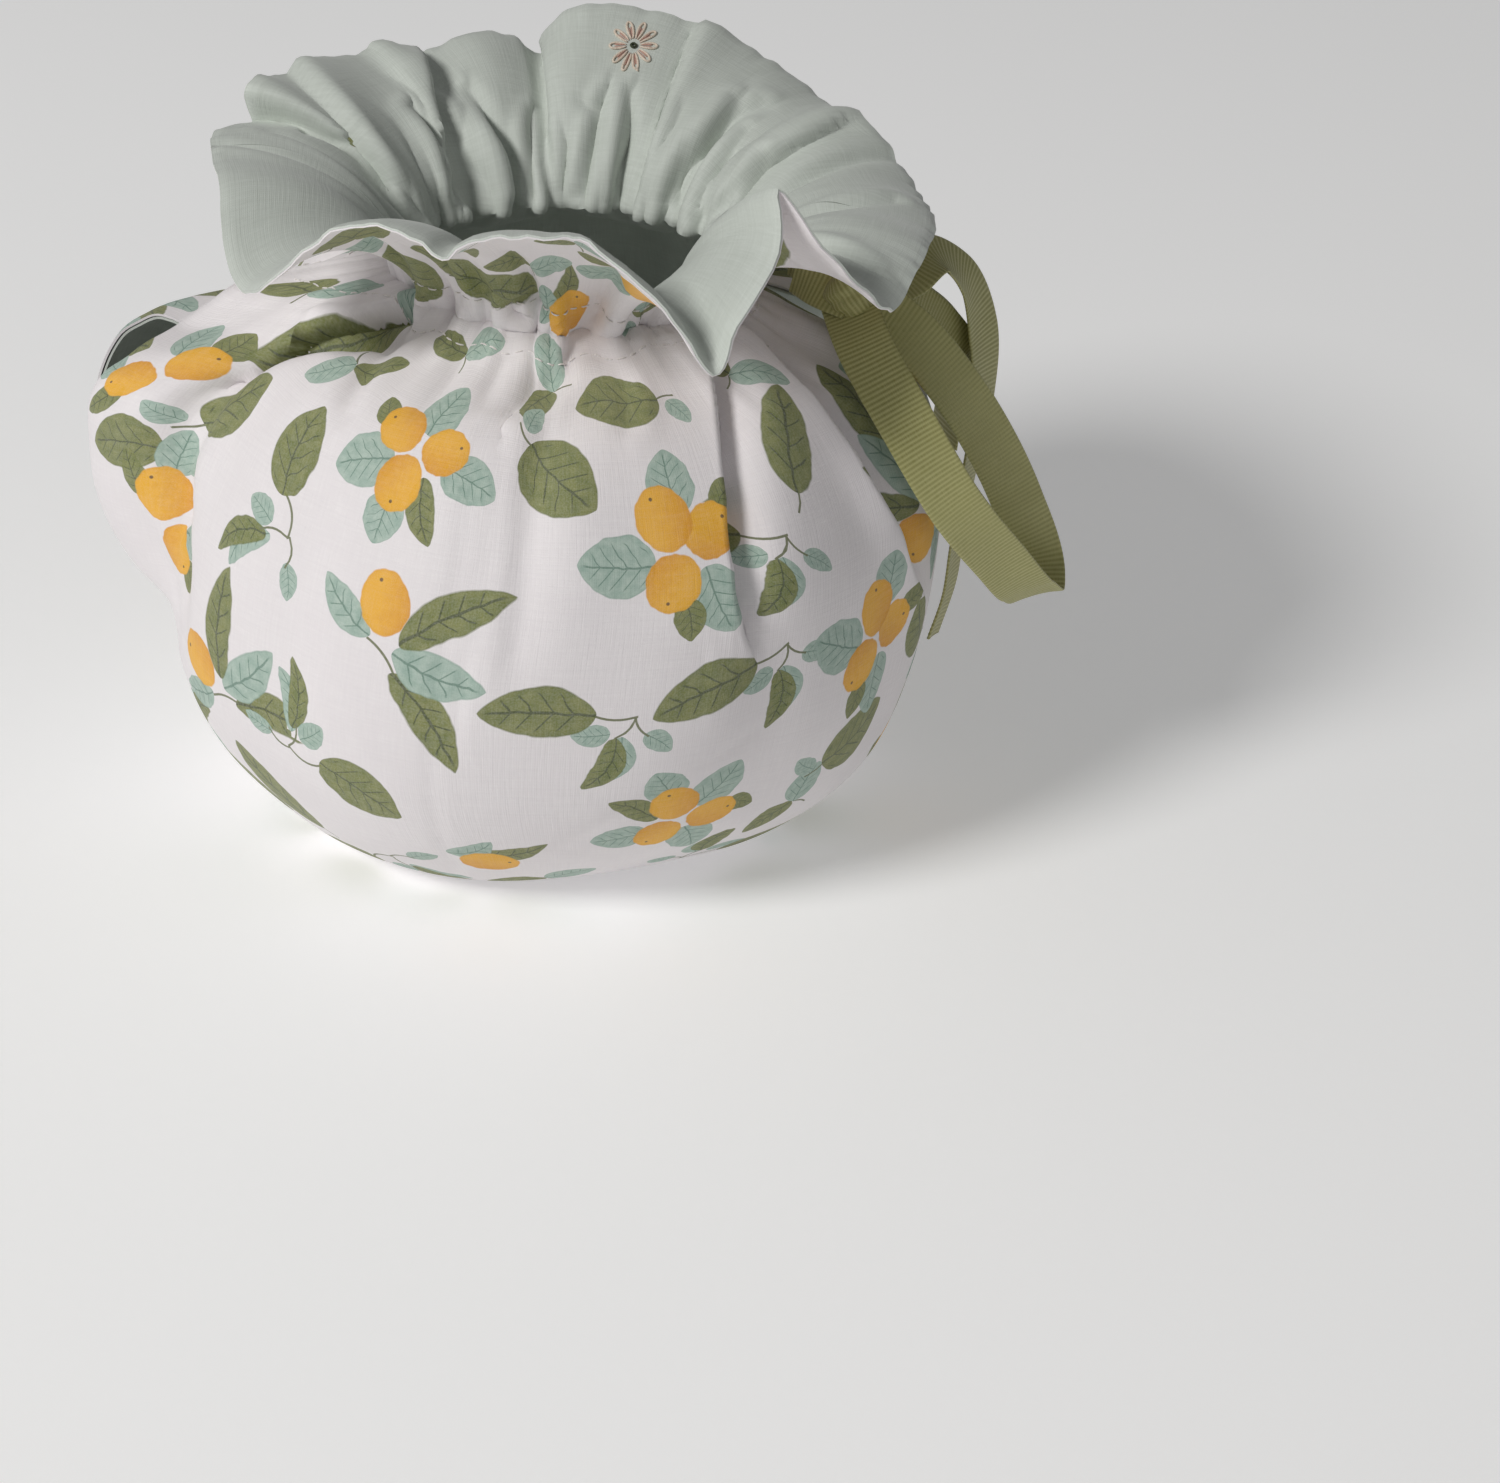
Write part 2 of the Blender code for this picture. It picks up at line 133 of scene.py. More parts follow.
# The ribbon's runs: X, Y, Z of the middle (mm), then the way its width points
LEAD_A = (
    (45.5, 2, 137.2, 0.1, 0.15, 1), (49, -2, 136.8, 0.1, 0.3, 0.95),
    (53, -7.5, 135.8, 0.1, 0.5, 0.85), (58, -13, 133.7, 0.2, 0.6, 0.75),
)
LEAD_B = (
    (45.5, -6.5, 136.6, 0, 0.15, 1), (49, -9.8, 136, 0, 0.35, 0.9),
    (53, -12.6, 135, 0.1, 0.55, 0.8), (58.5, -15, 133, 0.1, 0.75, 0.6),
)
LOOP_A = (
    (56.5, -13, 132.5, 0.8, 0.4, 0.5), (60, -27, 127, 0.75, 0.35, 0.55),
    (69.1, -38, 114.4, 0.74, 0.3, 0.58), (81.6, -39, 94.6, 0.76, 0.25, 0.55),
    (94, -31, 77, 0.85, 0.2, 0.42), (102.5, -21.5, 64.5, 0.93, 0.15, 0.3),
    (106, -14, 60.5, 0.95, 0.1, 0.3), (106.4, -9.5, 63.5, 0.93, 0.15, 0.35),
    (100.2, -9, 80.7, 0.85, 0.3, 0.45), (90.7, -12, 99.3, 0.8, 0.35, 0.5),
    (81.3, -15, 113.7, 0.75, 0.4, 0.5), (72, -15.5, 124.5, 0.7, 0.4, 0.55),
    (60, -14.5, 133, 0.6, 0.5, 0.6),
)
LOOP_B = (
    (58.5, -13, 134, 0.3, 0.6, 0.75), (69.5, -4, 128.2, 0.35, 0.75, 0.55),
    (80.4, 6, 116.8, 0.6, 0.7, 0.4), (86.5, 12, 107, 0.7, 0.6, 0.3),
    (87.5, 15.5, 104, 0.75, 0.6, 0.2), (85.5, 18.5, 107, 0.7, 0.6, 0.3),
    (77.5, 13, 117.5, 0.6, 0.7, 0.4), (68, 1, 126, 0.4, 0.8, 0.5), (58.5, -11, 132, 0.3, 0.7, 0.6),
)
TAIL_A = (
    (58, -14, 134.5, 0.1, 0.9, 0.4), (70.6, -2, 133.5, -0.1, 0.9, 0.4),
    (77.7, 6, 135.3, -0.1, 0.95, 0.3), (85.7, 11, 128.2, 0.3, 0.93, 0.2),
    (91, 13, 114.1, 0.55, 0.8, 0.2), (92.4, 12, 97.1, 0.5, 0.85, 0.1),
    (90.5, 9, 80.1, 0.4, 0.9, 0.0), (88.8, 7, 62.4, 0.35, 0.93, 0.0),
    (87.8, 5, 49.8, 0.35, 0.93, -0.1), (84.6, 2, 38.5, 0.3, 0.9, -0.35),
)
TAIL_B = (
    (57, -12, 133, 0.2, 0.9, 0.3), (66, 2, 129.5, 0.2, 0.9, 0.3), (76, 17, 121, -0.2, 0.95, 0.2),
    (84, 29, 106, -0.3, 0.9, 0.2), (88, 36, 90, -0.4, 0.9, 0.1), (87.5, 38, 74, -0.42, 0.9, 0.0),
)
KNOT = (57.8, -13.5, 133.4)
KNOT_RADIUS, KNOT_HALF = 0.0060, 0.0056  # its girth's radius and half its length


def spline(x, rows, period=None):
    """Smooth curve through rows whose first column is x. It gives the other columns."""
    rows = np.asarray(rows, float)
    if period:
        before, after = rows[-3:].copy(), rows[:3].copy()
        before[:, 0] -= period
        after[:, 0] += period
        rows = np.concatenate([before, rows, after])
    at, value = rows[:, 0], rows[:, 1:]
    x = np.clip(x, at[0], at[-1])
    i = np.clip(np.searchsorted(at, x, side="right") - 1, 0, len(at) - 2)
    step = np.diff(at)[:, None]
    rise = np.diff(value, axis=0) / step
    slope = np.empty_like(value)
    slope[1:-1] = (rise[:-1] * step[1:] + rise[1:] * step[:-1]) / (step[:-1] + step[1:])
    slope[0], slope[-1] = rise[0], rise[-1]
    wide = step[i]
    t = (x - at[i])[..., None] / wide
    return (
        (2 * t**3 - 3 * t**2 + 1) * value[i]
        + (t**3 - 2 * t**2 + t) * wide * slope[i]
        + (3 * t**2 - 2 * t**3) * value[i + 1]
        + (t**3 - t**2) * wide * slope[i + 1]
    )


def smooth(t):
    """0 to 1 with soft ends."""
    t = np.clip(t, 0, 1)
    return t * t * (3 - 2 * t)


def around(angle):
    """The same angle within half a turn."""
    return (angle + 180) % 360 - 180


def unit(vectors):
    return vectors / np.linalg.norm(vectors, axis=-1, keepdims=True)


RINGS = np.array([row[1:] for row in BODY]) * MM
UP_THE_BODY = np.concatenate([[0], np.cumsum(np.hypot(*np.diff(RINGS[:, :2], axis=0).T))])
BODY_CURVE = np.column_stack([UP_THE_BODY, RINGS])
NECK = UP_THE_BODY[-1]


def gathers(q):
    """Uneven ripples round the neck, about -1 to 1. The side seams hold the cloth flat."""
    a = np.radians(q)
    phase = GATHERS * a + 0.9 * np.sin(3 * a + 0.6) + 0.6 * np.sin(5 * a + 2.0)
    held = 1 - 0.9 * np.exp(-((np.cos(a) / 0.12) ** 2))
    return held * np.cos(phase) * (0.8 + 0.25 * np.sin(7 * a + 1.1) + 0.15 * np.sin(4 * a))


def curve(ends):
    """Points along a curve through drawn by three given ones, and its heading there (q, v mm)."""
    t = np.linspace(0, 1, PATH_STEPS + 1)[:, None]
    a, b, c = np.reshape(ends, (3, 2))
    return (1 - t) ** 2 * a + 2 * t * (1 - t) * b + t**2 * c, (1 - t) * (b - a) + t * (c - b)


def from_path(q, v, radius, path):
    """The way round and up from a path's nearest point (m), and the number of that point."""
    dx = np.radians(around(q[..., None] - path[:, 0])) * radius[..., None]
    dy = v[..., None] - path[:, 1] * MM
    near = np.argmin(dx**2 + dy**2, -1)[..., None]
    dx = np.take_along_axis(dx, near, -1)[..., 0]
    dy = np.take_along_axis(dy, near, -1)[..., 0]
    return dx, dy, near[..., 0]


def folds(q, v, radius, table):
    """How far a table's folds lift or sink the cloth: valleys along a curve, with a lip beside."""
    out = np.zeros(np.shape(q))
    for _, *ends, wide, deep, lip in table:
        dx, dy, near = from_path(q, v, radius, curve(ends)[0])
        away = np.hypot(dx, dy) / (wide * MM) * np.where(dx < 0, -1, 1)
        fade = np.sin(np.pi * (near / PATH_STEPS + 0.125) / 1.25) ** 0.5
        valley = -deep * np.exp(-(away**2))
        out += MM * fade * (valley + lip * np.exp(-(((away - 1.6) / 1.3) ** 2)))
    return out


def frill(q, v, middle, height):
    """The cloth above the neck: it leans out more and more, and its rim waves by the RIM table."""
    rim = np.array(RIM, float)
    rim[:, 1] -= rim[:, 0]
    turn, reach, lean = np.moveaxis(spline(q, rim, 360), -1, 0)
    s = np.clip((v - NECK) / FRILL, 0, 1)
    steps = 8
    out = rise = out_rim = rise_rim = 0
    for i in range(steps + 1):
        weight = (1 if i in (0, steps) else 4 if i % 2 else 2) / (3 * steps)
        here = np.radians(lean) * (0.35 + 1.3 * s * i / steps)
        rim_here = np.radians(lean) * (0.35 + 1.3 * i / steps)
        out = out + weight * s * np.sin(here)
        rise = rise + weight * s * np.cos(here)
        out_rim = out_rim + weight * np.sin(rim_here)
        rise_rim = rise_rim + weight * np.cos(rim_here)
    reach = reach * MM / np.hypot(out_rim, rise_rim)
    radius = NECK_RADIUS + GATHER_DEPTH * gathers(q) * np.exp(-((s / 0.38) ** 1.4)) + reach * out
    a = np.radians(q + turn * s)
    return np.stack([middle + radius * np.sin(a), -radius * np.cos(a), height + reach * rise], -1)


def cloth(q, v):
    """The panel's inner face."""
    q, v = np.broadcast_arrays(np.asarray(q, float), np.asarray(v, float))
    low = np.minimum(v, NECK)
    radius, height, middle = np.moveaxis(spline(low, BODY_CURVE), -1, 0)
    above = spline(np.minimum(low + 0.0005, NECK), BODY_CURVE)
    along = unit((above - spline(np.maximum(low - 0.0005, 0), BODY_CURVE))[..., :2])
    a = np.radians(q)
    radius = radius + spline(q, SAG, 360)[..., 0] * MM * (1 - smooth((low - 0.030) / 0.065))
    ripple = np.exp(-(((NECK - low) / 0.024) ** 1.3)) * GATHER_DEPTH * gathers(q)
    lift = folds(q, low, radius, FOLDS) * smooth((low - 0.010) / 0.030)
    lift = lift * smooth((NECK - low) / 0.014)
    out = radius + ripple + along[..., 1] * lift
    x, y, z = middle + out * np.sin(a), -out * np.cos(a), height - along[..., 0] * lift

    # the sleeve
    side = around(q + 90)
    edge_x, edge_y, edge_z, spread = np.moveaxis(spline(low / MM, SLEEVE), -1, 0)
    near = 1 - smooth(np.abs(side) / spread)
    x = x + near * (radius - middle - edge_x * MM)
    y = y - near * np.where(side < 0, -1, 1) * np.maximum(edge_y, 0) * MM
    z = z + near * (edge_z * MM - height)

    # the slit
    side = around(q - 90)
    near = 1 - smooth(np.abs(side) / SLIT_SPREAD)
    open_here = np.sin(np.pi * np.clip((low - SLIT_FROM) / (SLIT_TO - SLIT_FROM), 0, 1))
    y = y + near * np.where(side < 0, -1, 1) * SLIT_HALF * open_here

    body = np.stack([x, y, z], -1)
    point = np.where((v > NECK)[..., None], frill(q, v, middle, height), body)
    return point + CENTRE


# --- finer relief of the cloth --------------------------------------------------------------------

# Creases too fine for the solids, in the same columns as FOLDS
BODY_CREASES = (
    ("press_up", -15, 149, -14, 77, -18, 18, 1.7, 0.35, 0),
    ("press_across", 1, 44, 13, 63, 31, 76, 1.7, 0.35, 0),
    ("pleat_left", -52, 172, -48, 158, -42, 142, 2.6, 1.6, 0.9),
    ("sleeve_root", -72, 158, -77, 132, -71, 98, 3.0, 2.8, 1.4),
    ("under_neck_a", -30, 172, -27, 163, -28, 150, 2.5, 1.1, 0.5),
    ("under_neck_b", 14, 172, 15, 164, 12, 150, 2.5, 1.2, 0.6),
    ("under_neck_c", -15, 172, -18, 165, -17, 155, 2.2, 1.0, 0.5),
    ("under_neck_d", 44, 172, 45, 163, 42, 151, 2.5, 1.1, 0.5),
    ("under_neck_e", 64, 172, 62, 160, 63, 146, 2.5, 1.2, 0.6),
    ("sleeve_soft", -76, 149, -80, 138, -82, 122, 3, 1.2, 0.5),
    ("sleeve_under", -78, 100, -76, 88, -72, 70, 4, 1.4, 0.5),
    ("belly_soft", 31, 104, 34, 84, 33, 58, 8, 1.2, 0.5),
    ("right_soft", 62, 112, 58, 88, 60, 60, 7, 1.2, 0.5),
    ("left_soft", -40, 120, -38, 95, -42, 66, 8, 1.2, 0.4),
    ("back_soft_a", 132, 160, 140, 135, 138, 100, 5, 1.6, 0.8),
    ("back_soft_b", 176, 165, 180, 140, 176, 108, 5, 1.6, 0.8),
    ("back_soft_c", 218, 165, 215, 140, 220, 106, 5, 1.6, 0.8),
)

# Pleats: where the cloth is folded over itself. The cloth on the right-hand side of a pleat's way
# stands above the other: three points (q, v mm), rise, drop, how far the rise and the drop reach,
# and half the width of the step itself (mm). The first two are the sharp ones.
PLEATS = (
    ("front_right", 53, 190, 12.5, 133.5, 30.5, 92, 1.9, 4.6, 12, 8, 1.0),
    ("far_right", 66, 190, 37, 130, 75, 78, 1.9, 4.2, 10, 10, 1.0),
    ("middle", -1, 188, -9, 142, -6, 82, 1.0, 1.5, 11, 10, 3.6),
    ("sleeve_top", -50, 182, -72, 168, -75, 130, 2.8, 5.0, 7, 6, 1.1),
)

# The same on the frill. A rise below 0 is towards the lining, so the way is the other one round.
FRILL_PLEATS = (
    ("left_lobe", 234, 238, 243, 209, 252, 180, -1.7, -3.4, 9, 8, 1.5),
    ("back_left_lobe", 229, 180, 218.5, 205, 208, 238, -1.7, -3.2, 9, 7, 1.4),
    ("back_lobe", 187, 238, 186, 210, 186, 180, -1.5, -2.6, 8, 7, 1.3),
    ("back_right_lobe", 157.5, 238, 153.5, 206, 154, 180, -1.8, -2.2, 8, 9, 1.2),
    ("right_lobe", 124, 182, 114, 203, 124, 236, -1.4, -2.2, 9, 9, 1.6),
)
GIVE = 1.3  # how far the hidden cloth gives way at a pleat (mm)
TUCKS = (9, 7)  # how much cloth the first two pleats hide (deg)
SWIRL = (-13, 183, 42, 1.8, 6.5)  # a twist of cloth at the casing: q, v, radius, height, reach

# Creases of the frill. One with a depth below 0 is a valley on the lining's side.
FRILL_CREASES = (
    ("lobe_right", 101, 182, 109, 205, 113, 231, 2.4, -1.6, -1.2),
    ("back_left_soft", 196, 181, 205, 199, 212, 217, 3.0, -1.3, -0.9),
    ("right_soft", 144, 183, 141, 197, 136, 214, 2.6, -1.2, -0.9),
    ("dimple", 177.5, 203, 175, 200, 172.5, 203, 1.6, -0.9, 0),
    ("corner", 271, 229, 277, 212, 274, 192, 2.6, -1.6, -1.0),
    ("crease_a", 243, 181, 250, 198, 256, 215, 1.8, -1.2, -0.8),
    ("crease_b", 222, 180, 224, 194, 227, 206, 1.6, -1.3, -0.9),
    ("crease_c", 201, 180, 203, 196, 206, 210, 1.6, -1.3, -0.9),
    ("crease_d", 194, 180, 194, 192, 192, 202, 1.5, -1.2, -0.8),
    ("crease_e", 176, 180, 173, 195, 171, 206, 1.6, -1.2, -0.8),
    ("crease_f", 163, 180, 163, 194, 165, 207, 1.7, -1.3, -0.9),
    ("crease_g", 139, 180, 138, 196, 141, 212, 1.7, -1.3, -0.9),
    ("crease_h", 127, 180, 131, 194, 133, 206, 1.7, -1.2, -0.8),
    ("crease_i", 112, 180, 117, 195, 120, 203, 1.6, -1.1, -0.7),
    ("crease_j", 80, 181, 84, 200, 93, 222, 2.0, -1.2, -0.8),
    ("crease_k", 62, 181, 64, 200, 60, 222, 2.0, -1.2, -0.8),
    ("crease_l", 262, 181, 264, 200, 262, 220, 2.0, -1.2, -0.8),
    ("front_a", -52, 180, -50, 198, -46, 214, 2.0, 1.3, 0.8),
    ("front_b", -33, 180, -36, 196, -34, 210, 2.0, 1.4, 0.9),
    ("front_c", -8, 179, -10, 194, -13, 206, 2.0, 1.4, 0.9),
    ("front_d", 9, 179, 10, 196, 8, 212, 2.2, 1.5, 0.9),
    ("front_e", 44, 180, 43, 198, 45, 214, 2.0, 1.3, 0.8),
)


def pleats(q, v, radius, table):
    """The steps of a table's pleats, and how near a step is."""
    out, close = np.zeros(np.shape(q)), np.zeros(np.shape(q))
    for _, *ends, rise, drop, rise_reach, drop_reach, soft in table:
        path, heading = curve(ends)
        dx, dy, near = from_path(q, v, radius, path)
        left = np.radians(heading[near, 0]) * radius * dy - heading[near, 1] * MM * dx
        away = np.hypot(dx, dy) / MM * np.sign(left)
        part = near / PATH_STEPS
        fade = smooth(part / 0.15) * smooth((1 - part) / 0.25)
        step = smooth((away + soft) / (2 * soft))
        raised = rise * np.exp(-((away / rise_reach) ** 2)) * (1 - step)
        out += MM * fade * (raised - drop * np.exp(-((away / drop_reach) ** 2)) * step)
        close += fade * np.exp(-((away / 3) ** 2))
    return out, close


def pleat_line(row, v):
    """How far round a pleat's way is at a height (deg)."""
    path, _ = curve(row[1:7])
    return np.interp(v / MM, path[::-1, 1], path[::-1, 0])


def rim_edge(v):
    """0 on the cloth, 1 at the frill's edge."""
    return smooth((v - NECK - FRILL + RIM_EDGE) / RIM_EDGE)


def relief(q, v, side):
    """The finer lift of the cloth along its normal: small gathers, creases and rim puckers.

    The side is 1 for the print and -1 for the lining. The hidden one gives way at a pleat.
    """
    a = np.radians(q)
    flat = 1 - 0.9 * np.exp(-((np.cos(a) / 0.10) ** 2))  # the side seams hold it flat
    up = np.clip((v - NECK) / FRILL, 0, 1)

    # small gathers beside the neck
    close = np.exp(-np.abs(v - NECK) / np.where(v > NECK, 0.013, 0.010))
    small = np.cos(43 * a + 2.1 * np.sin(5 * a) + 1.3 * np.sin(9 * a + 1))
    tiny = np.cos(71 * a + 2.6 * np.sin(6 * a + 2) + 1.7 * np.sin(11 * a))
    lift = flat * close * MM * (0.65 * small + 0.28 * tiny)

    # ribs up the frill, toward the side that shows: the lining at the back, the print in front
    inward = np.maximum(-np.cos(a), 0.22 * -np.cos(a))
    wander = 0.95 * np.sin(4 * a + 1) + 0.7 * np.sin(7 * a + 3)
    wander = wander + 0.7 * np.sin(9 * up + 4 * a) * smooth(up / 0.3)
    ribs = 1 - np.abs(np.sin(15.5 * a + wander))
    uneven = 0.7 + 0.3 * np.sin(3 * a + 0.8) + 0.25 * np.sin(8 * a + 2)
    reach = 0.5 + 0.17 * np.sin(5 * a + 1.5)
    rise = smooth(up / 0.14) * np.exp(-((up / reach) ** 2))
    lift += flat * MM * 2.7 * inward * uneven * (ribs**1.5 - 0.25) * rise

    # puckers at the rim, then soft waves of the body and of the frill
    pucker = np.sin(58 * a + 3 * np.sin(7 * a + 0.5)) + 0.7 * np.sin(97 * a + 2 * np.sin(5 * a))
    lift += MM * 0.22 * pucker * np.exp(-((1 - up) * FRILL / 0.0035))
    soft = np.sin(5 * a + 31 * v + 1.0) * np.sin(3 * a - 52 * v) + 0.6 * np.sin(9 * a - 40 * v + 2)
    lift += MM * 0.5 * soft * smooth((v - 0.012) / 0.03) * smooth((NECK - v) / 0.03)
    fan = np.sin(11 * a + 60 * v + 0.4) * np.sin(6 * a + 2.2) * smooth(up / 0.3)
    lift += MM * 0.7 * fan

    # the tables' creases and pleats
    heights = [*UP_THE_BODY, NECK + 0.02, NECK + FRILL]
    radius = np.interp(v, heights, [*RINGS[:, 0], 0.050, 0.076])
    steps, close = pleats(q, v, radius, PLEATS)
    on_body = folds(q, v, radius, BODY_CREASES) + steps - MM * GIVE * close * (side < 0)
    steps, close = pleats(q, v, radius, FRILL_PLEATS)
    give = MM * GIVE * close * (side > 0) * smooth((NECK + FRILL - 0.001 - v) / 0.006)
    on_frill = 1.5 * folds(q, v, radius, FRILL_CREASES) + steps + give
    lift += on_body * smooth((NECK - v) / 0.006) + on_frill * smooth((v - NECK) / 0.004)

    at_q, at_v, out, height, reach = SWIRL
    dx = np.radians(around(q - at_q)) * out
    dy = v / MM - at_v
    far = np.hypot(dx, dy)
    lift += MM * height * np.sin(far / 1.3 + np.arctan2(dy, dx)) * np.exp(-((far / reach) ** 2))
    return lift


def grid_normals(points):
    return unit(np.cross(np.gradient(points, axis=1), np.gradient(points, axis=0)))


def fine_grid(q, v, side):
    """The face between panel and lining with all its relief, and its normals."""
    points = cloth(q, v)
    points = points + grid_normals(points) * relief(q, v, side)[..., None]
    return points, grid_normals(points)


def on_cloth(q, v, lift):
    """Points lifted from the cloth at any q (deg) and v (m), and the normals there."""
    q, v = np.broadcast_arrays(np.asarray(q, float), np.asarray(v, float))
    dq, dv = 0.15, 0.0002
    stack_q = np.stack([q, q - dq, q + dq, q, q])
    stack_v = np.stack([v, v, v, v - dv, v + dv])
    base = cloth(stack_q, stack_v)
    normal = unit(np.cross(base[2] - base[1], base[4] - base[3]))
    raised = base + normal * relief(stack_q, stack_v, np.sign(lift))[..., None]
    normal = unit(np.cross(raised[2] - raised[1], raised[4] - raised[3]))
    return raised[0] + normal * lift, normal


def panel_skin(v):
    """How far the panel's outer face stands from its inner one.

    The hem is double, the casing stands out with its stitch rows drawn in, and the rim is thin.
    """
    skin = np.full(np.shape(v), 0.55)
    skin += 0.62 * (1 - smooth((v - HEM) / 0.002))
    skin += 0.50 * np.exp(-(((v - NECK) / 0.0045) ** 2))
    skin -= 0.22 * np.exp(-(((np.abs(v - NECK) - STITCH_ROW) / 0.0011) ** 2))
    skin -= 0.25 * rim_edge(v)
    return skin * MM


# --- meshes ---------------------------------------------------------------------------------------

SHEET_ROWS = np.concatenate(
    [
        np.linspace(0, 0.150, 104, endpoint=False),
        np.linspace(0.150, 0.200, 50, endpoint=False),
        np.linspace(0.200, NECK + FRILL, 30),
    ]
)
SHEET_COLUMNS = 224
PLEAT_MARKS = (28, 56)  # where the sharp pleats' columns would stand in an even spread (deg)


def new_object(name, points, faces, made, smooth_angle=0):
    mesh = bpy.data.meshes.new(name)
    mesh.from_pydata(points.tolist(), [], faces)
    mesh.update()
    mesh.polygons.foreach_set("use_smooth", [True] * len(mesh.polygons))
    if smooth_angle:
        mesh.set_sharp_from_angle(angle=np.radians(smooth_angle))
    mesh.materials.append(made)
    made_object = bpy.data.objects.new(name, mesh)
    scene.collection.objects.link(made_object)
    return made_object


def add_flat_map(made_object, flat, faces):
    layer = made_object.data.uv_layers.new(name="flat")
    layer.data.foreach_set("uv", flat[faces.ravel()].astype(np.float32).ravel())


def quads(rows, columns, start=0, wrap=False):
    """Faces of a grid of points, row by row."""
    across = np.arange(columns if wrap else columns - 1)
    i, j = np.meshgrid(np.arange(rows - 1), across, indexing="ij")
    i, j = i.ravel() * columns + start, j.ravel()
    k = (j + 1) % columns
    return np.column_stack([i + j, i + k, i + columns + k, i + columns + j])


def edge_ring(rows, columns):
    """The grid's border, in order."""
    bottom = np.arange(columns)
    right = np.arange(1, rows) * columns + columns - 1
    top = np.arange(columns - 2, -1, -1) + (rows - 1) * columns
    left = np.arange(rows - 2, 0, -1) * columns
    return np.concatenate([bottom, right, top, left])


def thin_sheet(name, q, v, outer, inner, made):
    """A closed thin sheet between two lifts from the cloth, with its outer faces first."""
    points, normals = fine_grid(q, v, np.sign(outer.mean()))
    skin = (points + normals * outer[..., None]).reshape(-1, 3)
    under = (points + normals * inner[..., None]).reshape(-1, 3)
    top = quads(*q.shape)
    below = quads(*q.shape, q.size)[:, ::-1]
    ring = edge_ring(*q.shape)
    after = np.roll(ring, -1)
    side = np.column_stack([ring, ring + q.size, after + q.size, after])
    faces = np.concatenate([top, below, side])
    made_object = new_object(name, np.concatenate([skin, under]), faces.tolist(), made, 60)
    flat = np.stack([FLAT_RADIUS * np.radians(q), v], -1).reshape(-1, 2)
    add_flat_map(made_object, np.concatenate([flat, flat]), faces)
    return made_object, faces


def half_grid(middle, gap):
    """q and v of a half of the way round, less a gap at both side seams.

    In front the columns run along the two sharp pleats and stand closer there.
    """
    heights = [*UP_THE_BODY, NECK + FRILL]
    seam = np.interp(SHEET_ROWS, heights, [*RINGS[:, 0], NECK_RADIUS + FRILL])
    half = 90 - np.degrees(gap / seam)
    q = middle + half[:, None] * np.linspace(-1, 1, SHEET_COLUMNS)
    if middle == 0:
        ways = [pleat_line(row, SHEET_ROWS) for row in PLEATS[:2]]
        even = np.linspace(-90, 90, 3000)
        crowd = 1 + sum(1.8 * np.exp(-(((even - mark) / 2.2) ** 2)) for mark in PLEAT_MARKS)
        crowd = np.cumsum(crowd) - crowd[0]
        columns = np.interp(np.linspace(0, crowd[-1], SHEET_COLUMNS), crowd, even)
        fixed = (-90, -50, *PLEAT_MARKS, 90)
        moved = np.column_stack([-half, np.full(half.shape, -50), *ways, half])
        q = np.array([np.interp(columns, fixed, row) for row in moved])
    return q, np.repeat(SHEET_ROWS[:, None], SHEET_COLUMNS, axis=1)


# --- the print: where each leaf, fruit and stem lies ----------------------------------------------

OLIVE, TEAL, FRUIT, STEM = 1, 2, 3, 4

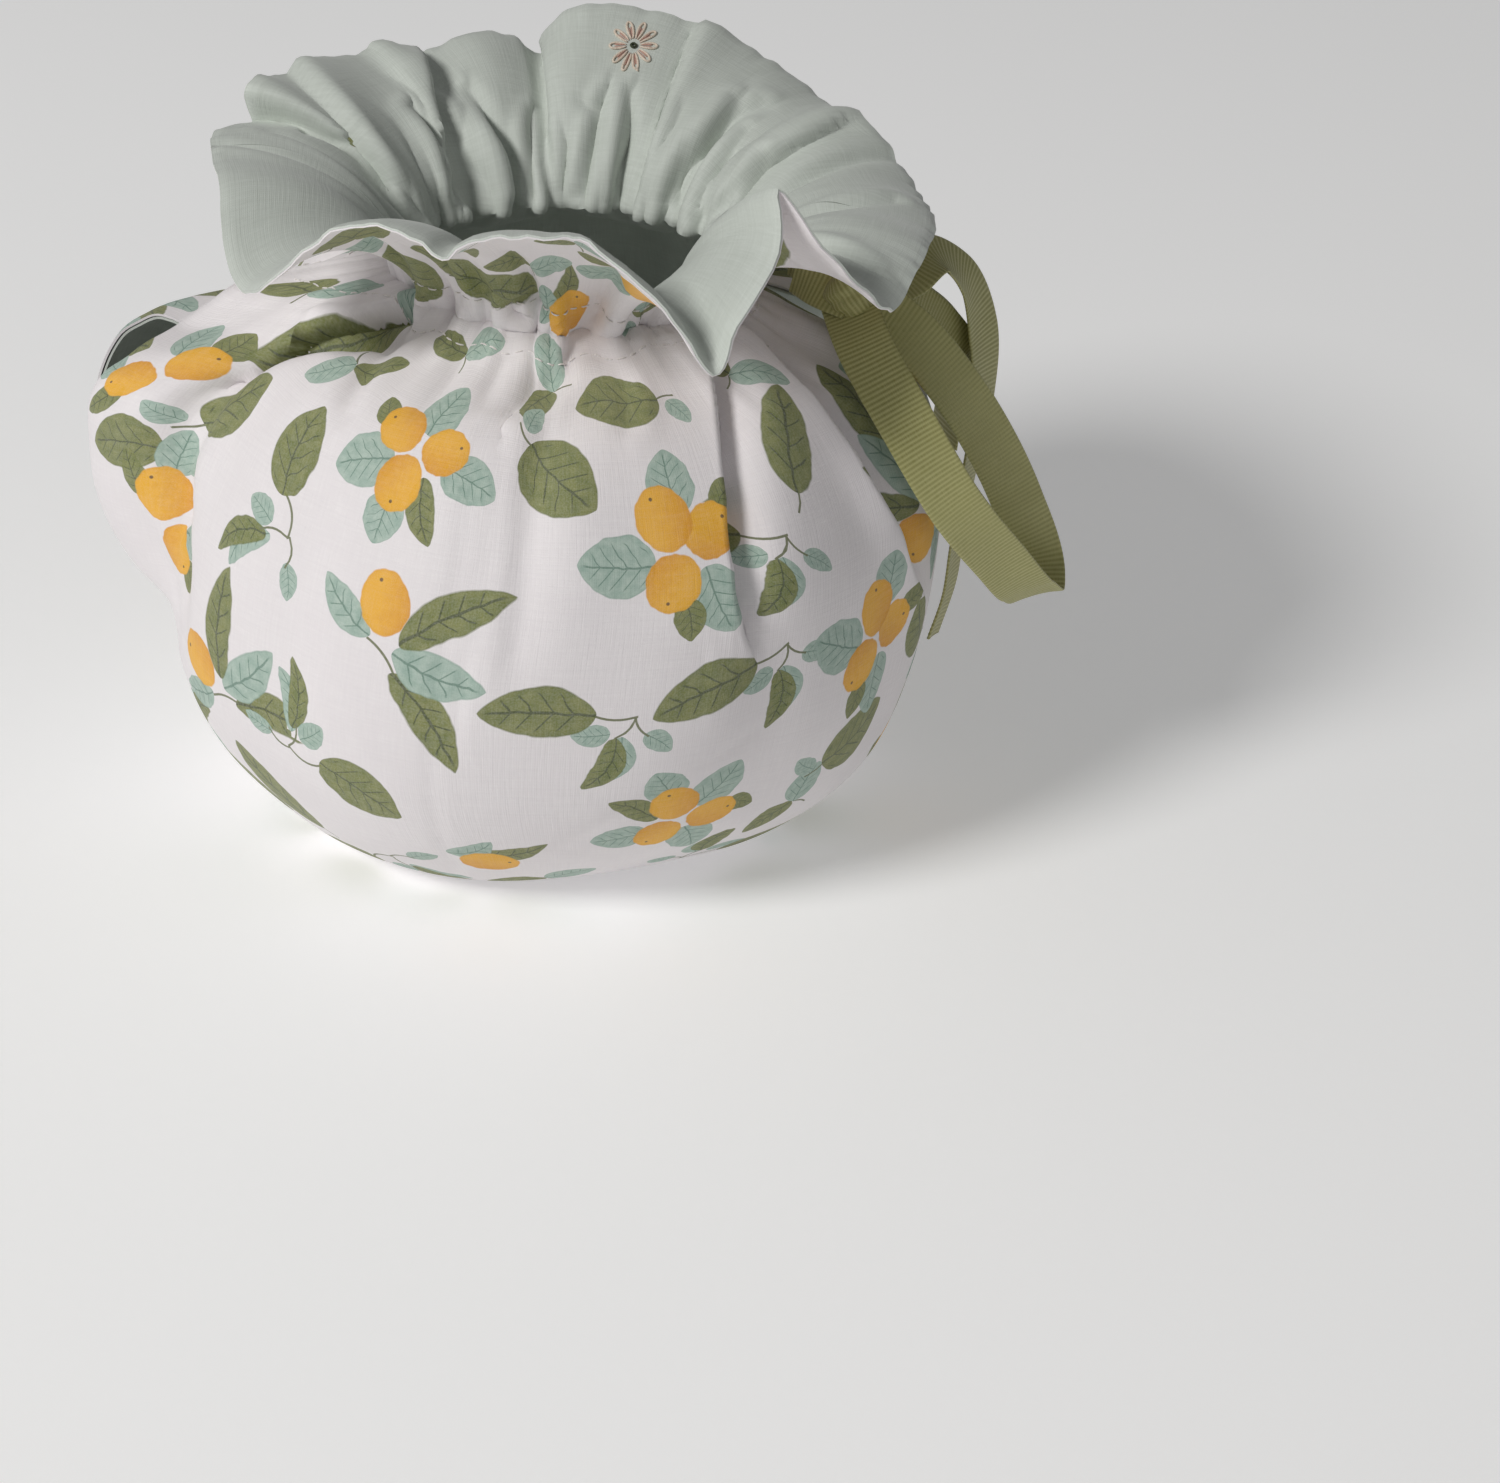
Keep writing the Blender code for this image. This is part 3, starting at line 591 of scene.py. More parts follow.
# Kind, its base x and y from the motif's middle (mm), heading (deg), length (mm), half width by
# length, bend
MOTIFS = {
    "cluster": (
        (FRUIT, -0.4, 1.6, 146, 12.5, 0.45, 0), (FRUIT, 1.6, 0.2, 16, 12.0, 0.46, 0),
        (FRUIT, -0.2, -0.6, 256, 12.5, 0.45, 0), (OLIVE, -9.0, 5.0, 128, 8.0, 0.42, 0.05),
        (OLIVE, 4.0, -4.5, 288, 14.0, 0.26, -0.08), (TEAL, 1.5, 4.5, 76, 15.0, 0.42, 0.04),
        (TEAL, -4.5, -2.0, 200, 15.0, 0.43, -0.04), (TEAL, 8.0, -1.5, 338, 13.5, 0.40, 0.05),
        (TEAL, -2.5, -8.5, 262, 11.5, 0.44, 0),
    ),
    "cluster_b": (
        (FRUIT, -0.5, 0.8, 118, 14.0, 0.45, 0), (FRUIT, 1.2, 0.8, 32, 12.5, 0.46, 0),
        (FRUIT, 0.0, -0.2, 254, 13.0, 0.46, 0), (OLIVE, 0.5, -9.5, 287, 10.0, 0.36, 0.06),
        (OLIVE, 8.0, 7.5, 50, 9.0, 0.38, 0), (TEAL, 0.0, 8.0, 98, 14.0, 0.43, 0.05),
        (TEAL, -5.5, -2.5, 182, 17.0, 0.42, 0.03), (TEAL, 5.0, -3.0, 298, 16.0, 0.38, -0.06),
    ),
    "sprig": (
        (OLIVE, 0.0, 2.0, 97, 21.0, 0.36, 0.05), (STEM, 0.0, 3.0, 305, 10.5, 0.03, 0.18),
        (STEM, 6.0, -5.5, 195, 8.0, 0.035, -0.16), (STEM, 6.2, -5.0, 285, 7.0, 0.04, 0.2),
        (TEAL, 8.0, -10.5, 293, 8.5, 0.30, 0.08), (TEAL, 0.5, -4.5, 168, 9.0, 0.38, -0.05),
        (OLIVE, 0.5, -7.5, 222, 17.0, 0.21, -0.16), (TEAL, 1.5, -7.0, 236, 15.0, 0.27, -0.2),
    ),
    "branch": (
        (OLIVE, -2.0, 1.0, 188, 25.0, 0.27, -0.04), (STEM, -2.5, 1.0, 5, 9.5, 0.032, -0.1),
        (STEM, 6.5, 1.5, 238, 6.5, 0.045, 0.16), (STEM, 6.5, 1.5, 312, 6.0, 0.045, -0.12),
        (TEAL, 9.5, -2.5, 330, 8.0, 0.36, 0.05), (TEAL, 2.0, -3.0, 190, 8.5, 0.36, 0.05),
        (OLIVE, 3.5, -4.0, 252, 15.5, 0.24, 0.16), (TEAL, 4.5, -3.5, 262, 13.0, 0.32, 0.12),
    ),
    "cluster_c": (
        (FRUIT, 0.6, 0.4, 20, 12.5, 0.46, 0), (FRUIT, -0.6, 0.0, 196, 12.0, 0.42, 0),
        (TEAL, 10.5, 0.5, 350, 11.0, 0.42, 0), (TEAL, -2.0, -4.0, 252, 12.5, 0.42, 0.05),
        (OLIVE, -9.0, -3.5, 232, 9.5, 0.40, 0), (OLIVE, 6.0, 5.5, 28, 12.0, 0.28, 0.05),
    ),
    "single": (
        (FRUIT, -1.0, 4.5, 104, 15.0, 0.40, 0), (OLIVE, 1.5, 3.0, 27, 27.5, 0.20, 0.07),
        (STEM, -6.0, 3.5, 312, 10.5, 0.03, 0.1), (TEAL, 0.0, 1.0, 343, 22.0, 0.25, -0.06),
        (TEAL, -5.5, 4.0, 140, 17.5, 0.24, 0.05), (OLIVE, 0.0, -3.5, 300, 27.0, 0.19, 0.09),
    ),
    "bud": (
        (FRUIT, -6.0, -1.5, 352, 13.5, 0.42, 0), (TEAL, -7.5, 2.5, 28, 13.0, 0.26, -0.14),
        (OLIVE, -5.0, 4.0, 8, 21.0, 0.17, -0.18),
    ),
    "leaf": (
        (OLIVE, 0.0, -13.5, 92, 28.0, 0.25, 0.06), (STEM, 0.0, -13.0, 270, 5.0, 0.05, 0.1),
    ),
    "wide_leaf": (
        (OLIVE, -10.0, 0.0, 4, 21.5, 0.40, -0.06), (STEM, -9.0, 0.0, 184, 6.0, 0.045, 0.12),
        (TEAL, -12.5, 0.5, 118, 8.0, 0.36, 0.05),
    ),
    "pair": (
        (TEAL, 0.0, 0.0, 12, 13.0, 0.36, 0.06), (OLIVE, 0.0, 0.5, 164, 14.0, 0.30, -0.08),
        (STEM, 0.0, 0.0, 265, 5.0, 0.05, 0.1),
    ),
}

# Motif, way round (deg), way up (mm), turn (deg). The first ones lie on top.
LAYOUT = (
    # the body's front
    ("cluster", -25.5, 139, 0), ("cluster_b", 17.5, 122, -4), ("cluster", 22, 53, 215),
    ("cluster_b", 53.5, 88, -28), ("single", -22, 96, 4), ("sprig", -47, 119, -8),
    ("branch", 8, 85.5, -8), ("branch", 31, 94, 14), ("sprig", -34, 66, 232),
    ("wide_leaf", -1, 139, -48), ("wide_leaf", 11.5, 157, 178), ("leaf", 43, 140, -34),
    ("branch", 29.5, 122, -18), ("single", -52, 70, 62), ("bud", -11, 38, 6),
    ("wide_leaf", 53, 62, 22), ("pair", 44, 47, 66), ("pair", -3, 165, 84), ("pair", 44, 161, -60),
    ("single", 69, 112, 118), ("leaf", 66, 138, -8), ("sprig", 73, 72, 30), ("leaf", -47, 44, 34),
    ("pair", -50, 155, 215), ("leaf", -68, 157, 130), ("pair", -59, 171, 100),
    ("pair", -77, 169, 20), ("cluster_c", -81, 137, 200), ("cluster_c", -73, 98, 96),
    ("wide_leaf", -80, 115, 186), ("cluster", 76, 44, 20), ("wide_leaf", -68, 131, 40),
    ("pair", 0, 20, 30), ("branch", -66, 44, 150), ("branch", 36, 24, 190), ("sprig", -32, 24, 100),
    ("wide_leaf", 72, 22, 40), ("branch", -72, 20, 60), ("pair", 58, 168, 60),
    ("pair", -28, 168, 15),
    # the frill's front
    ("pair", -55, 203, 10), ("wide_leaf", -50, 190, 60), ("leaf", -31, 197, 60),
    ("pair", -9, 199, 8), ("leaf", -20, 189, -96), ("bud", -1, 186, 60),
    ("cluster_c", 17, 204, -60), ("wide_leaf", 26, 192, 80), ("leaf", 44, 212, 28),
    ("pair", 62, 208, 30), ("cluster", 80, 212, 100), ("sprig", -80, 212, 20),
    ("wide_leaf", -44, 221, 20), ("pair", -20, 222, 100), ("pair", 2, 218, 30),
    # the body's back
    ("single", 99, 52, 12), ("cluster", 131, 46, 140), ("branch", 160, 56, -12),
    ("single", 195, 48, 96), ("cluster_b", 227, 56, 30), ("sprig", 257, 48, 170),
    ("sprig", 112, 94, 20), ("cluster", 143, 91, -30), ("single", 175, 97, -20),
    ("branch", 206, 92, 24), ("cluster", 236, 95, 75), ("wide_leaf", 260, 92, 50),
    ("cluster_b", 100, 134, 40), ("branch", 126, 135, 10), ("wide_leaf", 152, 139, -50),
    ("cluster", 185, 137, 20), ("sprig", 214, 138, -14), ("wide_leaf", 240, 132, 200),
    ("single", 262, 132, 80), ("leaf", 112, 162, 40), ("pair", 138, 163, 30), ("bud", 162, 164, 90),
    ("pair", 199, 165, 190), ("leaf", 228, 163, -30), ("pair", 250, 165, 50),
    ("wide_leaf", 114, 20, 30), ("pair", 146, 20, 150), ("sprig", 178, 22, 100),
    ("wide_leaf", 212, 20, 200), ("branch", 243, 20, 20),
    # the frill's back
    ("wide_leaf", 100, 210, 40), ("cluster", 121, 209, 0), ("sprig", 143, 212, 30),
    ("single", 166, 206, 10), ("pair", 186, 214, 80), ("cluster_b", 205, 209, 60),
    ("wide_leaf", 226, 211, -30), ("branch", 246, 209, 160), ("pair", 263, 212, 20),
)
PRINT_LAYERS = 4
MOTIF_REACH = (32, 60)  # how far a motif can reach from its middle (mm), and round (deg)
MARGIN = 1.4  # how far beyond a shape the faces still carry it (mm)
LET_OUT = 0.45  # how much of the gathers is let out for the print's scale


def cloth_scale(q, v):
    """How wide a radian of the cloth is at a place, gathers partly let out, and how tall v is."""
    dq, dv = 8.0, 0.006
    ends = cloth(np.array([q - dq, q + dq, q, q]), np.array([v, v, v - dv, v + dv]))
    wide = np.linalg.norm(ends[1] - ends[0]) / np.radians(2 * dq)
    tall = np.linalg.norm(ends[3] - ends[2]) / (2 * dv)
    if v > UP_THE_BODY[4]:
        wide += LET_OUT * max(FLAT_RADIUS - wide, 0)
    return wide, np.clip(tall, 0.8, 1.3)


def beyond(q, v):
    """Whether a place lies past each of the two sharp pleats."""
    return [(q > pleat_line(row, v)) & (q < 90) for row in PLEATS[:2]]


def tucked(v, past):
    """How far round the print moves on past the cloth that the sharp pleats hide (deg)."""
    moved = 0
    for row, tuck, side in zip(PLEATS, TUCKS, past):
        above = smooth((v / MM - row[6]) / 45)
        moved = moved + tuck * above * smooth((NECK - v + 0.008) / 0.016) * side
    return moved


def print_places(q, v, faces):
    """Each face corner's place in each of the printed shapes over it, topmost first."""
    layers = np.zeros((PRINT_LAYERS, *faces.shape, 3), np.float32)
    used = np.zeros(len(faces), int)
    far, limit = MOTIF_REACH
    q, v = q[faces], v[faces]
    q = q + tucked(v, [side[:, None] for side in beyond(q.mean(1), v.mean(1))])
    for motif, at_q, at_v, turn in LAYOUT:
        wide, tall = cloth_scale(at_q, at_v * MM)
        away = around(q - at_q - tucked(at_v * MM, beyond(at_q, at_v * MM)))
        x = wide * np.radians(away) / MM
        y = (v / MM - at_v) * tall
        at = np.flatnonzero((np.hypot(x, y).min(1) < far) & (np.abs(away).max(1) < limit))
        spin = np.radians(turn)
        for kind, base_x, base_y, heading, length, ratio, bend in MOTIFS[motif]:
            dx = x[at] - base_x * np.cos(spin) + base_y * np.sin(spin)
            dy = y[at] - base_x * np.sin(spin) - base_y * np.cos(spin)
            way = np.radians(heading) + spin
            along = (dx * np.cos(way) + dy * np.sin(way)) / length
            across = (dy * np.cos(way) - dx * np.sin(way)) / length
            inside = np.clip(along, 0, 1)
            across = across - bend * 4 * inside * (1 - inside)
            margin = MARGIN / length
            near = (along > -margin) & (along < 1 + margin)
            near &= np.abs(across) < ratio * 1.12 + margin
            hit = near.any(1) & (used[at] < PRINT_LAYERS)
            picked = at[hit]
            code = np.full((len(picked), 4), kind + ratio)
            layers[used[picked], picked] = np.stack([along[hit], across[hit], code], -1)
            used[picked] += 1
    return layers


def add_print(made_object, faces, q, v):
    """Stores the places as corner attributes of the outer faces, which come first."""
    rows, columns = q.shape
    outer = faces[: (rows - 1) * (columns - 1)]
    layers = print_places(q.ravel(), v.ravel(), outer)
    for number, values in enumerate(layers):
        whole = np.zeros((len(faces), 4, 3), np.float32)
        whole[: len(outer)] = values
        attribute = made_object.data.attributes.new(f"print_{number}", "FLOAT_VECTOR", "CORNER")
        attribute.data.foreach_set("vector", whole.ravel())


# --- materials ------------------------------------------------------------------------------------


def linear(code):
    """A colour from its six hex digits."""
    parts = [int(code[i : i + 2], 16) / 255 for i in (0, 2, 4)]
    return tuple(p / 12.92 if p <= 0.04045 else ((p + 0.055) / 1.055) ** 2.4 for p in parts) + (1,)


class Number:
    """A shader socket that takes part in sums."""

    def __init__(self, tree, socket):
        self.tree, self.socket = tree, socket

    def math(self, operation, *others):
        node = self.tree.nodes.new("ShaderNodeMath")
        node.operation = operation
        for slot, value in enumerate((self, *others)):
            if isinstance(value, Number):
                self.tree.links.new(value.socket, node.inputs[slot])
            else:
                node.inputs[slot].default_value = value
        return Number(self.tree, node.outputs[0])

    def __add__(self, other):
        return self.math("ADD", other)

    def __sub__(self, other):
        return self.math("SUBTRACT", other)

    def __mul__(self, other):
        return self.math("MULTIPLY", other)

    def __truediv__(self, other):
        return self.math("DIVIDE", other)

    def ramp(self, low, high):
        """0 at low, 1 at high."""
        node = self.tree.nodes.new("ShaderNodeMapRange")
        node.inputs["From Min"].default_value = low
        node.inputs["From Max"].default_value = high
        self.tree.links.new(self.socket, node.inputs["Value"])
        return Number(self.tree, node.outputs["Result"])


def mix(factor, first, second):
    """A colour between two, each a socket or six hex digits."""
    node = factor.tree.nodes.new("ShaderNodeMix")
    node.data_type = "RGBA"
    factor.tree.links.new(factor.socket, node.inputs["Factor"])
    for name, value in (("A", first), ("B", second)):
        socket = [s for s in node.inputs if s.name == name and s.type == "RGBA"][0]
        if isinstance(value, Number):
            factor.tree.links.new(value.socket, socket)
        else:
            socket.default_value = linear(value)
    return Number(factor.tree, [s for s in node.outputs if s.type == "RGBA"][0])


def noise(tree, vector, scale, stretch=(1, 1, 1), detail=2, offset=0.0):
    """A noise texture's value over a stretched vector."""
    mapping = tree.nodes.new("ShaderNodeMapping")
    mapping.inputs["Scale"].default_value = stretch
    mapping.inputs["Location"].default_value = (offset, offset, 0)
    tree.links.new(vector, mapping.inputs["Vector"])
    node = tree.nodes.new("ShaderNodeTexNoise")
    node.inputs["Scale"].default_value = scale
    node.inputs["Detail"].default_value = detail
    tree.links.new(mapping.outputs["Vector"], node.inputs["Vector"])
    return Number(tree, node.outputs["Fac"])


def split(tree, vector):
    node = tree.nodes.new("ShaderNodeSeparateXYZ")
    tree.links.new(vector, node.inputs[0])
    return [Number(tree, socket) for socket in node.outputs]


def printed_shape():
    """Draws a leaf, fruit or stem from its place: along, across, kind + ratio."""
    tree = bpy.data.node_groups.new("printed_shape", "ShaderNodeTree")
    tree.interface.new_socket("Place", in_out="INPUT", socket_type="NodeSocketVector")
    tree.interface.new_socket("Color", in_out="OUTPUT", socket_type="NodeSocketColor")
    tree.interface.new_socket("Mask", in_out="OUTPUT", socket_type="NodeSocketFloat")
    given = tree.nodes.new("NodeGroupInput")
    place = given.outputs["Place"]
    along, across, code = split(tree, place)
    kind = code.math("FLOOR")
    ratio = code.math("FRACT")
    is_fruit = kind.ramp(2.4, 2.6)
    is_stem = kind.ramp(3.4, 3.6)
    wobble = noise(tree, place, 5.0, (1, 1, 3.7), 1) - 0.5
    tone = noise(tree, place, 9.0, (1, 1, 2.3), 3)
    speck = noise(tree, place, 60.0)

    # leaf
    u = (along + wobble * 0.05).math("MAXIMUM", 0.0)
    left = (along * -1.0 + 1.0).math("MAXIMUM", 0.0)
    width = u.math("POWER", 0.55) * left.math("POWER", 0.72) * ratio * 2.28
    off = (across + wobble * 0.07).math("ABSOLUTE")
    edge = width - off
    leaf = edge.ramp(0.0, 0.018)
    rib = off.ramp(0.016, 0.008) * along.ramp(0.95, 0.88)
    branch = ((along - off * 0.8) * 5.6 + wobble * 0.35).math("FRACT") - 0.5
    branch = branch.math("ABSOLUTE").ramp(0.43, 0.47)
    branch = branch * (off / (width + 0.001)).ramp(0.78, 0.66)
    branch = branch * along.ramp(0.08, 0.14) * along.ramp(0.86, 0.78)
    vein = rib.math("MAXIMUM", branch)
    outline = edge.ramp(0.030, 0.012)
    blot = tone.ramp(0.32, 0.70)
    olive = mix(blot, "83874D", "6C753B")
    olive = mix(outline * 0.45, olive, "545F2F")
    olive = mix(vein * 0.85, olive, "3E4824")
    teal = mix(blot, "AEC1B5", "93ADA0")
    teal = mix(outline * 0.5, teal, "6D9281")
    teal = mix(vein * 0.75, teal, "4F7665")
    leaf_colour = mix(kind.ramp(1.4, 1.6), olive, teal)

    # fruit
    x = (along - 0.5) * 2.0
    y = across / (ratio + 0.001)
    far = (x * x + y * y).math("SQRT") + wobble * 0.16
    fruit = far.ramp(1.0, 0.955)
    shade = (y * -0.5 + x * -0.25 + tone * 0.8).ramp(0.25, 1.0)
    peel = mix(shade, "EDB028", "DE9914")
    peel = mix(far.ramp(0.86, 1.0) * 0.4, peel, "D18A18")
    dx, dy = along - 0.83, across - 0.03
    dot = (dx * dx + dy * dy).math("SQRT").ramp(0.036, 0.022)
    peel = mix(dot * 0.9, peel, "5A3B14")

    # stem
    stem = across.math("ABSOLUTE") - ratio
    stem = stem.ramp(0.004, -0.008) * along.ramp(-0.01, 0.0) * along.ramp(1.01, 1.0)

    colour = mix(is_fruit, leaf_colour, peel)
    colour = mix(is_stem, colour, "6E7350")
    colour = mix(speck.ramp(0.35, 0.75) * 0.10, colour, "FFFFFF")
    mask = leaf + (fruit - leaf) * is_fruit
    mask = mask + (stem - mask) * is_stem
    mask = mask * kind.ramp(0.4, 0.6)
    out = tree.nodes.new("NodeGroupOutput")
    tree.links.new(colour.socket, out.inputs["Color"])
    tree.links.new(mask.socket, out.inputs["Mask"])
    return tree


def new_material(name, roughness, sheen=0.0, specular=0.3):
    made = bpy.data.materials.new(name)
    made.use_nodes = True
    shader = made.node_tree.nodes["Principled BSDF"]
    shader.inputs["Roughness"].default_value = roughness
    shader.inputs["Sheen Weight"].default_value = sheen
    shader.inputs["Sheen Roughness"].default_value = 0.5
    shader.inputs["Specular IOR Level"].default_value = specular
    return made, made.node_tree, shader


def flat_map(tree):
    """The cloth's flat map in millimetres."""
    uv = tree.nodes.new("ShaderNodeUVMap")
    uv.uv_map = "flat"
    scale = tree.nodes.new("ShaderNodeVectorMath")
    scale.operation = "SCALE"
    scale.inputs["Scale"].default_value = 1 / MM
    tree.links.new(uv.outputs["UV"], scale.inputs[0])
    return scale.outputs["Vector"]


def add_bump(tree, shader, height):
    """Relief from a height in metres."""
    bump = tree.nodes.new("ShaderNodeBump")
    bump.inputs["Strength"].default_value = 1.0
    bump.inputs["Distance"].default_value = 1.0
    tree.links.new(height.socket, bump.inputs["Height"])
    tree.links.new(bump.outputs["Normal"], shader.inputs["Normal"])


def weave_bump(tree, shader, flat, pitch, depth, slub):
    """Plain weave with uneven threads, as height in metres."""
    x, y, _ = split(tree, flat)
    over = (x * (np.pi / pitch)).math("SINE")
    under = (y * (np.pi / pitch)).math("SINE")
    weave = (over * under).math("ABSOLUTE")
    warp = noise(tree, flat, 1.0, (1.6, 0.10, 1), 2)
    weft = noise(tree, flat, 1.0, (0.10, 1.6, 1), 2, 7.0)
    add_bump(tree, shader, weave * depth + (warp + weft) * slub)
    return warp, weft


def print_cotton():
    made, tree, shader = new_material("print_cotton", 0.82, sheen=0.12)
    flat = flat_map(tree)
    warp, weft = weave_bump(tree, shader, flat, 0.5, 0.00002, 0.00008)
    cloudy = noise(tree, flat, 0.035, (1, 1, 1), 3)
    threads = (warp + weft) * 0.5
    ground = mix(threads.ramp(0.30, 0.70), "F0ECED", "E8E3E5")
    ground = mix(cloudy.ramp(0.35, 0.75) * 0.35, ground, "E1DBDE")
    group = printed_shape()
    colour = ground
    for number in reversed(range(PRINT_LAYERS)):
        place = tree.nodes.new("ShaderNodeAttribute")
        place.attribute_name = f"print_{number}"
        drawn = tree.nodes.new("ShaderNodeGroup")
        drawn.node_tree = group
        tree.links.new(place.outputs["Vector"], drawn.inputs["Place"])
        ink = Number(tree, drawn.outputs["Mask"]) * 0.97
        colour = mix(ink, colour, Number(tree, drawn.outputs["Color"]))
    colour = mix(threads.ramp(0.45, 0.75) * 0.07, colour, "FFFFFF")
    tree.links.new(colour.socket, shader.inputs["Base Color"])
    return made


def lining_cotton():
    made, tree, shader = new_material("lining_cotton", 0.62, sheen=0.25, specular=0.4)
    flat = flat_map(tree)
    warp, weft = weave_bump(tree, shader, flat, 0.45, 0.00002, 0.00007)
    cloudy = noise(tree, flat, 0.05, (1, 1, 1), 3)
    threads = (warp + weft) * 0.5
    colour = mix(threads.ramp(0.30, 0.70), "D6DCD5", "C8CEC6")
    colour = mix(cloudy.ramp(0.35, 0.75) * 0.4, colour, "B8BEB6")
    tree.links.new(colour.socket, shader.inputs["Base Color"])
    return made


def ribbon_grosgrain():
    made, tree, shader = new_material("ribbon_grosgrain", 0.5, sheen=0.2, specular=0.45)
    flat = flat_map(tree)
    x, *_ = split(tree, flat)
    # painted highlight and painted shade: the ribbon's colour is made lighter and darker with each
    # rib, as where light catches a rib and where the groove beside it lies in shade
    rib = (x * (2 * np.pi * MM / RIB_PITCH)).math("SINE").ramp(-1.0, 1.0)
    thread = noise(tree, flat, 1.0, (0.4, 6.0, 1), 2)
    cloudy = noise(tree, flat, 0.12)
    colour = mix(rib, "918F50", "BBB87C")
    colour = mix(thread.ramp(0.35, 0.7) * 0.35, colour, "C9C590")
    colour = mix(cloudy.ramp(0.3, 0.8) * 0.25, colour, "9B985E")
    tree.links.new(colour.socket, shader.inputs["Base Color"])
    add_bump(tree, shader, thread * 0.00006)
    return made


def thread_material(name, first, second):
    made, tree, shader = new_material(name, 0.55, sheen=0.3)
    position = tree.nodes.new("ShaderNodeTexCoord")
    strands = noise(tree, position.outputs["Object"], 2600.0)
    colour = mix(strands.ramp(0.35, 0.65), first, second)
    tree.links.new(colour.socket, shader.inputs["Base Color"])
    add_bump(tree, shader, strands * 0.00008)
    return made


# --- threads and the ribbon -----------------------------------------------------------------------


def tube(path, normal, thick, sides=6):
    """Points and faces of a thread along a path, thinning to its ends."""
    path = np.asarray(path, float)
    ahead = unit(np.gradient(path, axis=0))
    across = unit(np.cross(normal, ahead))
    upward = np.cross(ahead, across)
    t = np.linspace(-1, 1, len(path))
    radius = thick * np.sqrt(np.clip(1 - t**6, 0.08, 1))
    turn = np.linspace(0, 2 * np.pi, sides, endpoint=False)
    ring = across[:, None] * np.cos(turn)[:, None] + upward[:, None] * np.sin(turn)[:, None]
    points = (path[:, None] + ring * radius[:, None, None]).reshape(-1, 3)
    faces = quads(len(path), sides, wrap=True).tolist()
    ends = [np.arange(sides)[::-1], np.arange(sides) + (len(path) - 1) * sides]
    return points, faces + [[e[0], e[k], e[k + 1]] for e in ends for k in range(1, sides - 1)]


def thread_object(name, tubes, made):
    """One object of many threads."""
    points, faces, start = [], [], 0
    for tube_points, tube_faces in tubes:
        points.append(tube_points)
        faces += [[int(k) + start for k in face] for face in tube_faces]
        start += len(tube_points)
    return new_object(name, np.concatenate(points), faces, made)


STITCH_PITCH, STITCH_LENGTH = 0.0030, 0.0022
STITCH_RISE, STITCH_SINK, STITCH_THICK = 0.00028, 0.0001, 0.00020


def casing_stitches(middle):
    """Two rows of stitches through one panel, one on each side of the casing."""
    tubes = []
    for side in (-1, 1):
        v = NECK + side * STITCH_ROW
        q = middle + np.linspace(-88, 88, 1500)
        line, normal = on_cloth(q, np.full(q.shape, v), panel_skin(v) - STITCH_SINK)
        far = np.concatenate([[0], np.cumsum(np.linalg.norm(np.diff(line, axis=0), axis=1))])
        for start in np.arange(0.001, far[-1] - STITCH_PITCH, STITCH_PITCH):
            at = np.linspace(start, start + STITCH_LENGTH, 6)
            path = np.column_stack([np.interp(at, far, line[:, k]) for k in range(3)])
            up = np.column_stack([np.interp(at, far, normal[:, k]) for k in range(3)])
            arch = np.sin(np.pi * np.linspace(0, 1, 6)) ** 0.5
            path += up * (STITCH_RISE * arch)[:, None]
            tubes.append(tube(path, up, STITCH_THICK, 5))
    return tubes


DAISY = (167.0, 0.2190, 0.066)  # q, v and the frill's radius there
DAISY_STRETCH = 1.35


def daisy():
    """A small flower sewn on the frill's lining: ten looped petals, fillings, a knotted middle."""
    petals, fillings, middle = [], [], []

    def sew(group, way, out, wide, lift, thick, stretch=1):
        x = out * np.cos(way) - wide * np.sin(way)
        y = (out * np.sin(way) + wide * np.cos(way)) * stretch
        q = DAISY[0] - np.degrees(x * MM / DAISY[2])
        points, normal = on_cloth(q, DAISY[1] + y * MM, -LINING_SKIN - lift)
        group.append(tube(points, -normal, thick))

    for number in range(10):
        way = np.radians(number * 36 + 8)
        t = np.linspace(0.06, 0.94, 22) * 2 * np.pi
        out = 1.5 + 2.0 * (1 - np.cos(t)) * 1.05
        wide = 0.78 * np.sin(t) * (0.55 + 0.45 * (1 - np.cos(t)) / 2)
        sew(petals, way, out, wide, lift=0.00022, thick=0.00030, stretch=DAISY_STRETCH)
        for shift in (-0.28, 0.28):
            line = np.linspace(1.6, 4.6, 8)
            sew(fillings, way, line, shift, lift=0.00010, thick=0.00026, stretch=DAISY_STRETCH)
    for number in range(7):
        way = np.radians(number * 51.4)
        sew(middle, way, 0.55, 0.45 * np.linspace(-1, 1, 7), lift=0.00035, thick=0.00032)
    return petals, fillings, middle


